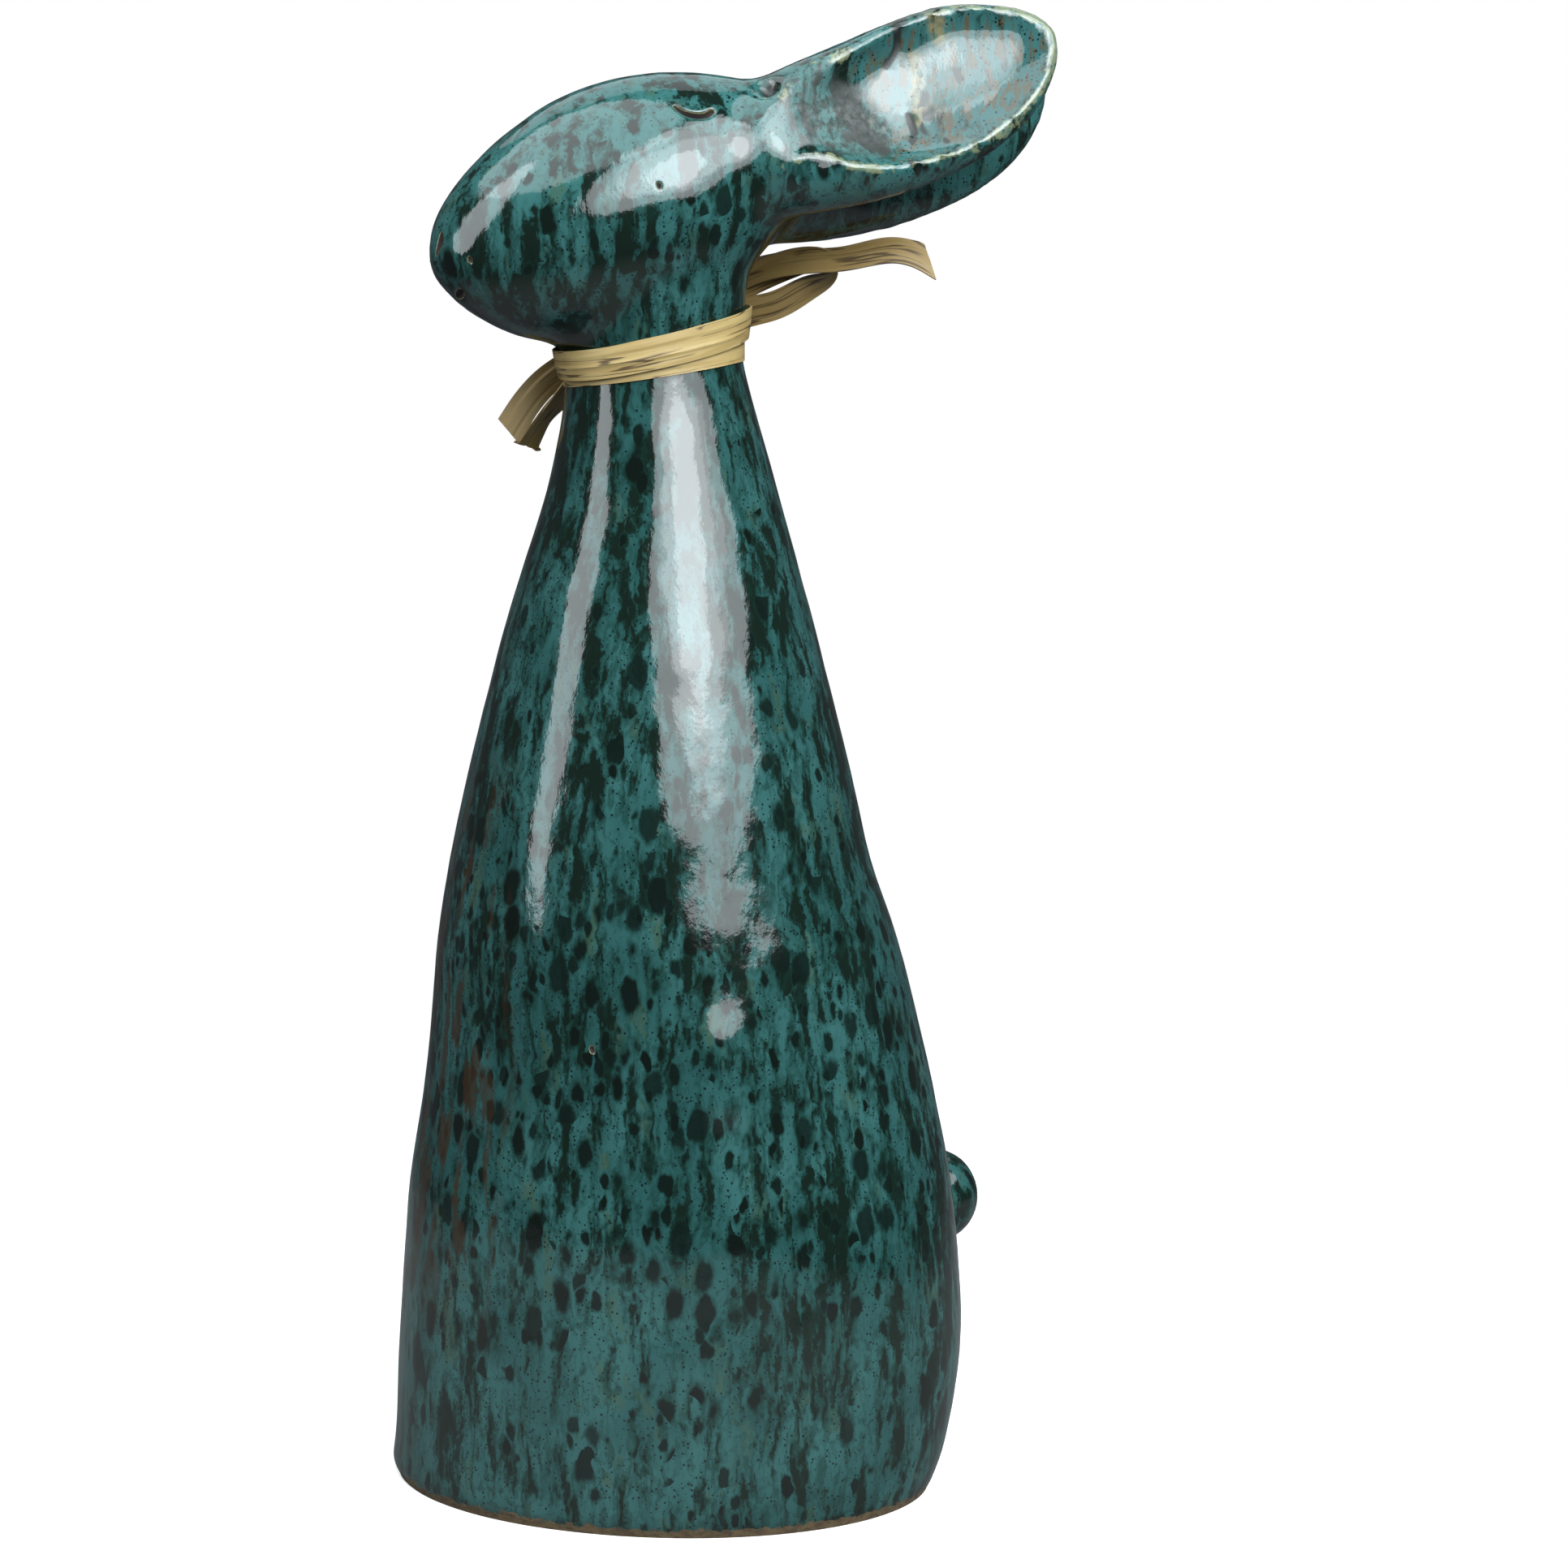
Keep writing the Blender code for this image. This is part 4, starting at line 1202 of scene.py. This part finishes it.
def glaze():
    """Teal glaze with dark runs, drops and fine specks, and bare clay under the foot; painted light on the
    head's crown and painted shade at the front of the ears.
    """
    g = Graph("teal_glaze")
    place = g.vector("MULTIPLY", g.node("TexCoord").outputs["Object"], PER_METRE)
    parts = g.node("SeparateXYZ")
    g.put(parts.inputs[0], place)
    height = parts.outputs["Z"]
    backward = g.plus(g.times(parts.outputs["X"], BACKWARD[0]), g.times(parts.outputs["Y"], BACKWARD[1]))
    moved = g.swayed(place, place, *BROAD_SWAY)
    ragged = g.swayed(moved, place, *RAGGED_SWAY)
    eased = g.swayed(place, place, *EASY_SWAY)
    gathered_and_shaded, hollow, stained, rim, carved = [
        g.point_value(name) for name in ("gathered_and_shaded", "hollow", "stained", "rim", "carved")]
    crinkled_and_shaded = g.step(g.point_value("crinkled_and_shaded"), 0.15, 0.60)
    pooled = g.step(g.point_value("pooled"), 0.25, 0.75)
    lit_crown = g.step(height, *LIT_CROWN)

    # Ground colour, mottled finely
    mottle = g.noise(ragged, *MOTTLE)
    colour = g.mix(g.step(g.noise(place, *BROAD_MOTTLE), *MIDDLE_HALF), TEAL, TEAL_PALE)
    # painted light: the head is painted paler and less green toward its crown, as if lit from above
    colour = g.mix(g.times(lit_crown, 0.8), colour, TEAL_HEAD_LIT)
    green = g.times(g.step(mottle, 0.47, 0.66), g.scale(lit_crown, 0.0, 1.0, 0.75, 0.35))
    colour = g.mix(green, colour, TEAL_GREEN)

    # Runs, dense on the head and upper body and fewer lower down, except at the back
    patches = g.noise(moved, *PATCHES)
    runs = 0.0
    for pattern, part in zip((g.noise(ragged, *LONG_RUNS), g.noise(ragged, *FINE_RUNS), patches), RUN_PARTS):
        runs = g.plus(runs, g.times(pattern, part))
    low_back = g.times(g.step(backward, *LOW_BACK), g.step(height, *LOW_BACK_FALL))
    limit = g.scale(height, *RUN_LIMITS)
    # the brow and head drips get real dark runs; the front of the ears gets runs as painted shade
    for share, change in ((lit_crown, 0.052), (gathered_and_shaded, -0.150), (hollow, 0.055), (low_back, -0.045)):
        limit = g.plus(limit, g.times(share, change))
    halo, dark = [g.step(runs, g.minus(limit, below), g.plus(limit, above))
                  for below, above in (RUN_HALO, RUN_CORE)]

    # Separate drops of two sizes, longer than wide, mostly on the middle of the body
    middle = g.times(g.step(height, *MIDDLE_RISE), g.step(height, *MIDDLE_FALL))
    crowd = g.scale(g.noise(place, *DROP_CROWDS), *MIDDLE_HALF, 0.20, -0.20)

    def drops(sizes, small, large, share_away, share_middle):
        """Dark middles and wider rings of the drops of one size."""
        gap, pick, size, tone = g.cells(eased, sizes)
        reach = g.scale(size, 0.0, 1.0, small, large)
        few = g.plus(g.scale(middle, 0.0, 1.0, share_away, share_middle), crowd)
        there = g.times(g.math("LESS_THAN", pick, few), g.scale(tone, 0.0, 1.0, 0.75, 1.0))
        return [g.times(g.blob(gap, reach, blur), there) for blur in (DROP_BLUR, RING_BLUR)]

    drop, ring = [g.most(*pair) for pair in zip(drops(*LARGE_DROPS), drops(*SMALL_DROPS))]

    # Tiny specks, thicker near the runs
    gap, pick, size, _ = g.cells(place, SPECK_CELLS)
    few = g.plus(g.scale(g.noise(place, *SPECK_CROWDS), *MIDDLE_HALF, *SPECK_SHARES), g.times(halo, 0.25))
    speck = g.times(g.blob(gap, g.scale(size, 0.0, 1.0, *SPECK_RADII), DROP_BLUR),
                    g.math("LESS_THAN", pick, few))

    # Rust on the front of the body, brown in the ears, and thin broken glaze on sharp edges
    rust = g.times(g.step(g.noise(ragged, *RUST_STREAKS), 0.50, 0.60), g.step(backward, *RUST_FRONT))
    rust = g.times(rust, g.times(g.step(height, *RUST_RISE), g.step(height, *RUST_FALL)))
    olive = g.step(g.noise(ragged, *OLIVE_PATCHES), 0.58, 0.68)
    brown = g.times(g.step(g.noise(eased, *BROWN_RUNS), 0.49, 0.60), hollow)
    broken = g.noise(place, *CRUMBLE)
    thin = g.step(g.plus(rim, g.scale(broken, *WIDE_HALF, -0.40, 0.40)), 0.48, 0.85)
    crumbs = g.times(carved, g.scale(broken, *WIDE_HALF, 0.75, 1.25))
    stain = g.scale(g.times(stained, g.scale(broken, *WIDE_HALF, 0.3, 1.7)), 0.2, 1.0, 0.0, 0.75)

    # Bare clay on the foot's edge and underside, with a ragged border
    border = g.plus(height, g.scale(g.noise(place, *CLAY_BORDER), *WIDE_HALF, -0.9, 0.9))
    bare = g.step(border, *BARE_CLAY)
    clay = g.mix(g.step(g.noise(place, *CLAY_GRAIN), 0.35, 0.65), CLAY, CLAY_DARK)

    # Coats over the ground colour: where each lies, how strong it is, and its colour
    coats = (
        (hollow, 0.60, HOLLOW_PALE),
        (olive, 0.45, OLIVE),
        (halo, 0.80, TEAL_GREEN),
        # painted shade: dark patches on the crinkled glaze at the front of the ears
        (g.times(crinkled_and_shaded, g.step(mottle, 0.46, 0.58)), 1.00, DROP_EDGE),
        (brown, 0.85, DRIP_BROWN),
        (stain, 1.00, STAIN),
        (speck, 0.92, SPECK),
        (dark, 0.95, RUN_DARK),
        (ring, 0.80, DROP_EDGE),
        (g.most(drop, pooled), 1.00, SPOT_DARK),
        (rust, 0.80, RUST),
        (thin, 0.75, THIN_GLAZE),
        (g.step(crumbs, 0.12, 0.18), 1.00, CARVED_EDGE),
        (g.step(crumbs, 0.20, 0.30), 1.00, CARVED_DARK),
        (bare, 1.00, clay),
    )
    for share, strength, paint in coats:
        colour = g.mix(g.times(share, strength), colour, paint)
    g.put(g.shader.inputs["Base Color"], colour)

    dull = g.most(bare, g.step(carved, 0.16, 0.32))
    dull = g.most(dull, g.times(pooled, 0.55))
    dull = g.most(dull, g.times(crinkled_and_shaded, g.scale(broken, 0.35, 0.65, 0.50, 0.90)))
    g.put(g.shader.inputs["Roughness"], g.scale(dull, 0.0, 1.0, *GLAZE_ROUGHNESS))
    g.shader.inputs["IOR"].default_value = GLAZE_IOR
    g.bump(g.plus(g.noise(place, *SKIN_RELIEF), g.times(patches, 2.0)), *GLAZE_BUMP)
    return g.material


def raffia_straw():
    """Khaki straw with fine fibres along its length, cracks made bolder with painted shade, and painted
    shade on its free ends.
    """
    g = Graph("raffia_straw")
    fibre = g.node("UVMap", uv_map="fibre").outputs["UV"]
    parts = g.node("SeparateXYZ")
    g.put(parts.inputs[0], fibre)
    along = parts.outputs["Y"]
    lines = g.noise(fibre, *FIBRES)
    blotch = g.noise(fibre, *BLOTCHES)
    # crack lines: split fibres, made bolder with painted shade like the dark creases between strands
    crack_and_shade = g.step(g.math("ABSOLUTE", g.minus(g.noise(fibre, *CRACK_SHADE_PATHS), 0.5)), 0.026, 0.008)
    crack_and_shade = g.times(crack_and_shade, g.step(g.noise(fibre, *CRACK_SHADE_BREAKS), 0.46, 0.52))
    colour = g.mix(g.step(g.noise(fibre, *BROAD_FIBRES), 0.36, 0.64), STRAW, STRAW_PALE)
    coats = (
        # painted shade darkens the strand's free ends, at both ends of its length
        (g.most(g.step(along, *ENDS_SHADE_START), g.step(along, *ENDS_SHADE_END)), 0.62, STRAW_SHADED_ENDS),
        (g.step(lines, 0.48, 0.70), 0.18, STRAW_SHADE),
        (g.step(blotch, 0.56, 0.72), 0.50, STRAW_SHADE),
        (crack_and_shade, 0.85, STRAW_CRACK_SHADE),
    )
    for share, strength, paint in coats:
        colour = g.mix(g.times(share, strength), colour, paint)
    g.put(g.shader.inputs["Base Color"], colour)
    g.put(g.shader.inputs["Roughness"], g.scale(lines, *WIDE_HALF, *STRAW_ROUGHNESS))
    g.bump(g.minus(g.times(lines, 0.3), crack_and_shade), *STRAW_BUMP)
    return g.material


def pale_floor():
    """Pale floor that is white to the camera, fades out at its edge and is dull in the glaze."""
    g = Graph("pale_floor")
    seen = g.node("LightPath").outputs["Is Camera Ray"]
    g.put(g.shader.inputs["Base Color"], g.mix(seen, FLOOR_REFLECTED, FLOOR_SEEN))
    g.shader.inputs["Roughness"].default_value = FLOOR_ROUGHNESS
    g.shader.inputs["Emission Color"].default_value = WHITE
    g.put(g.shader.inputs["Emission Strength"], g.times(seen, FLOOR_GLOW))
    away = g.node("VectorMath", operation="LENGTH")
    g.put(away.inputs[0], g.node("TexCoord").outputs["Object"])
    g.put(g.shader.inputs["Alpha"], g.step(away.outputs["Value"], FLOOR_RADIUS, FLOOR_CLEAR))
    return g.material


# Stage and light

def softbox(name, side, rise, distance, width, height, radiance, roll):
    """Oval area light aimed at the figure, placed and sized as the table of lights says."""
    _, forward, right, _ = camera_axes()
    back = Vector((-forward.x, -forward.y, 0.0)).normalized()
    turn, lift = radians(side), radians(rise)
    out = (back * cos(turn) + right * sin(turn)) * cos(lift) + Vector((0, 0, sin(lift)))
    data = bpy.data.lights.new(name, "AREA")
    data.shape = "ELLIPSE"
    data.color = LIGHT_TINT
    data.size = width * distance
    data.size_y = height * distance
    data.energy = radiance * pi * data.size * data.size_y
    light = bpy.data.objects.new(name, data)
    light.location = Vector((0.0, 0.0, LIGHT_AIM)) + out * distance
    turned = out.to_track_quat("Z", "Y") @ Quaternion((0.0, 0.0, 1.0), radians(roll))
    light.rotation_euler = turned.to_euler()
    bpy.context.scene.collection.objects.link(light)


def make_stage():
    """The floor, the lights, and a world that is white to the camera and darker in the glaze."""
    mesh = bmesh.new()
    bmesh.ops.create_circle(mesh, cap_ends=True, segments=FLOOR_SIDES, radius=FLOOR_RADIUS)
    floor = new_object("floor", mesh)
    floor.data.materials.append(pale_floor())
    for name, values in LIGHTS.items():
        softbox(name, *values)

    world = bpy.data.worlds.new("studio")
    world.use_nodes = True
    nodes, links = world.node_tree.nodes, world.node_tree.links
    shade = nodes["Background"]
    shade.inputs["Color"].default_value = ROOM_REFLECTED
    seen = nodes.new("ShaderNodeBackground")
    seen.inputs["Color"].default_value = WHITE
    path = nodes.new("ShaderNodeLightPath")
    both = nodes.new("ShaderNodeMixShader")
    links.new(path.outputs["Is Camera Ray"], both.inputs[0])
    links.new(shade.outputs[0], both.inputs[1])
    links.new(seen.outputs[0], both.inputs[2])
    links.new(both.outputs[0], nodes["World Output"].inputs["Surface"])
    bpy.context.scene.world = world
    bpy.context.scene.view_settings.view_transform = "Standard"


make_camera()
make_stage()
figure = hare()
figure.data.materials.clear()
figure.data.materials.append(glaze())
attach(figure, "root")
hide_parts("hare")
raffia_tie(figure)
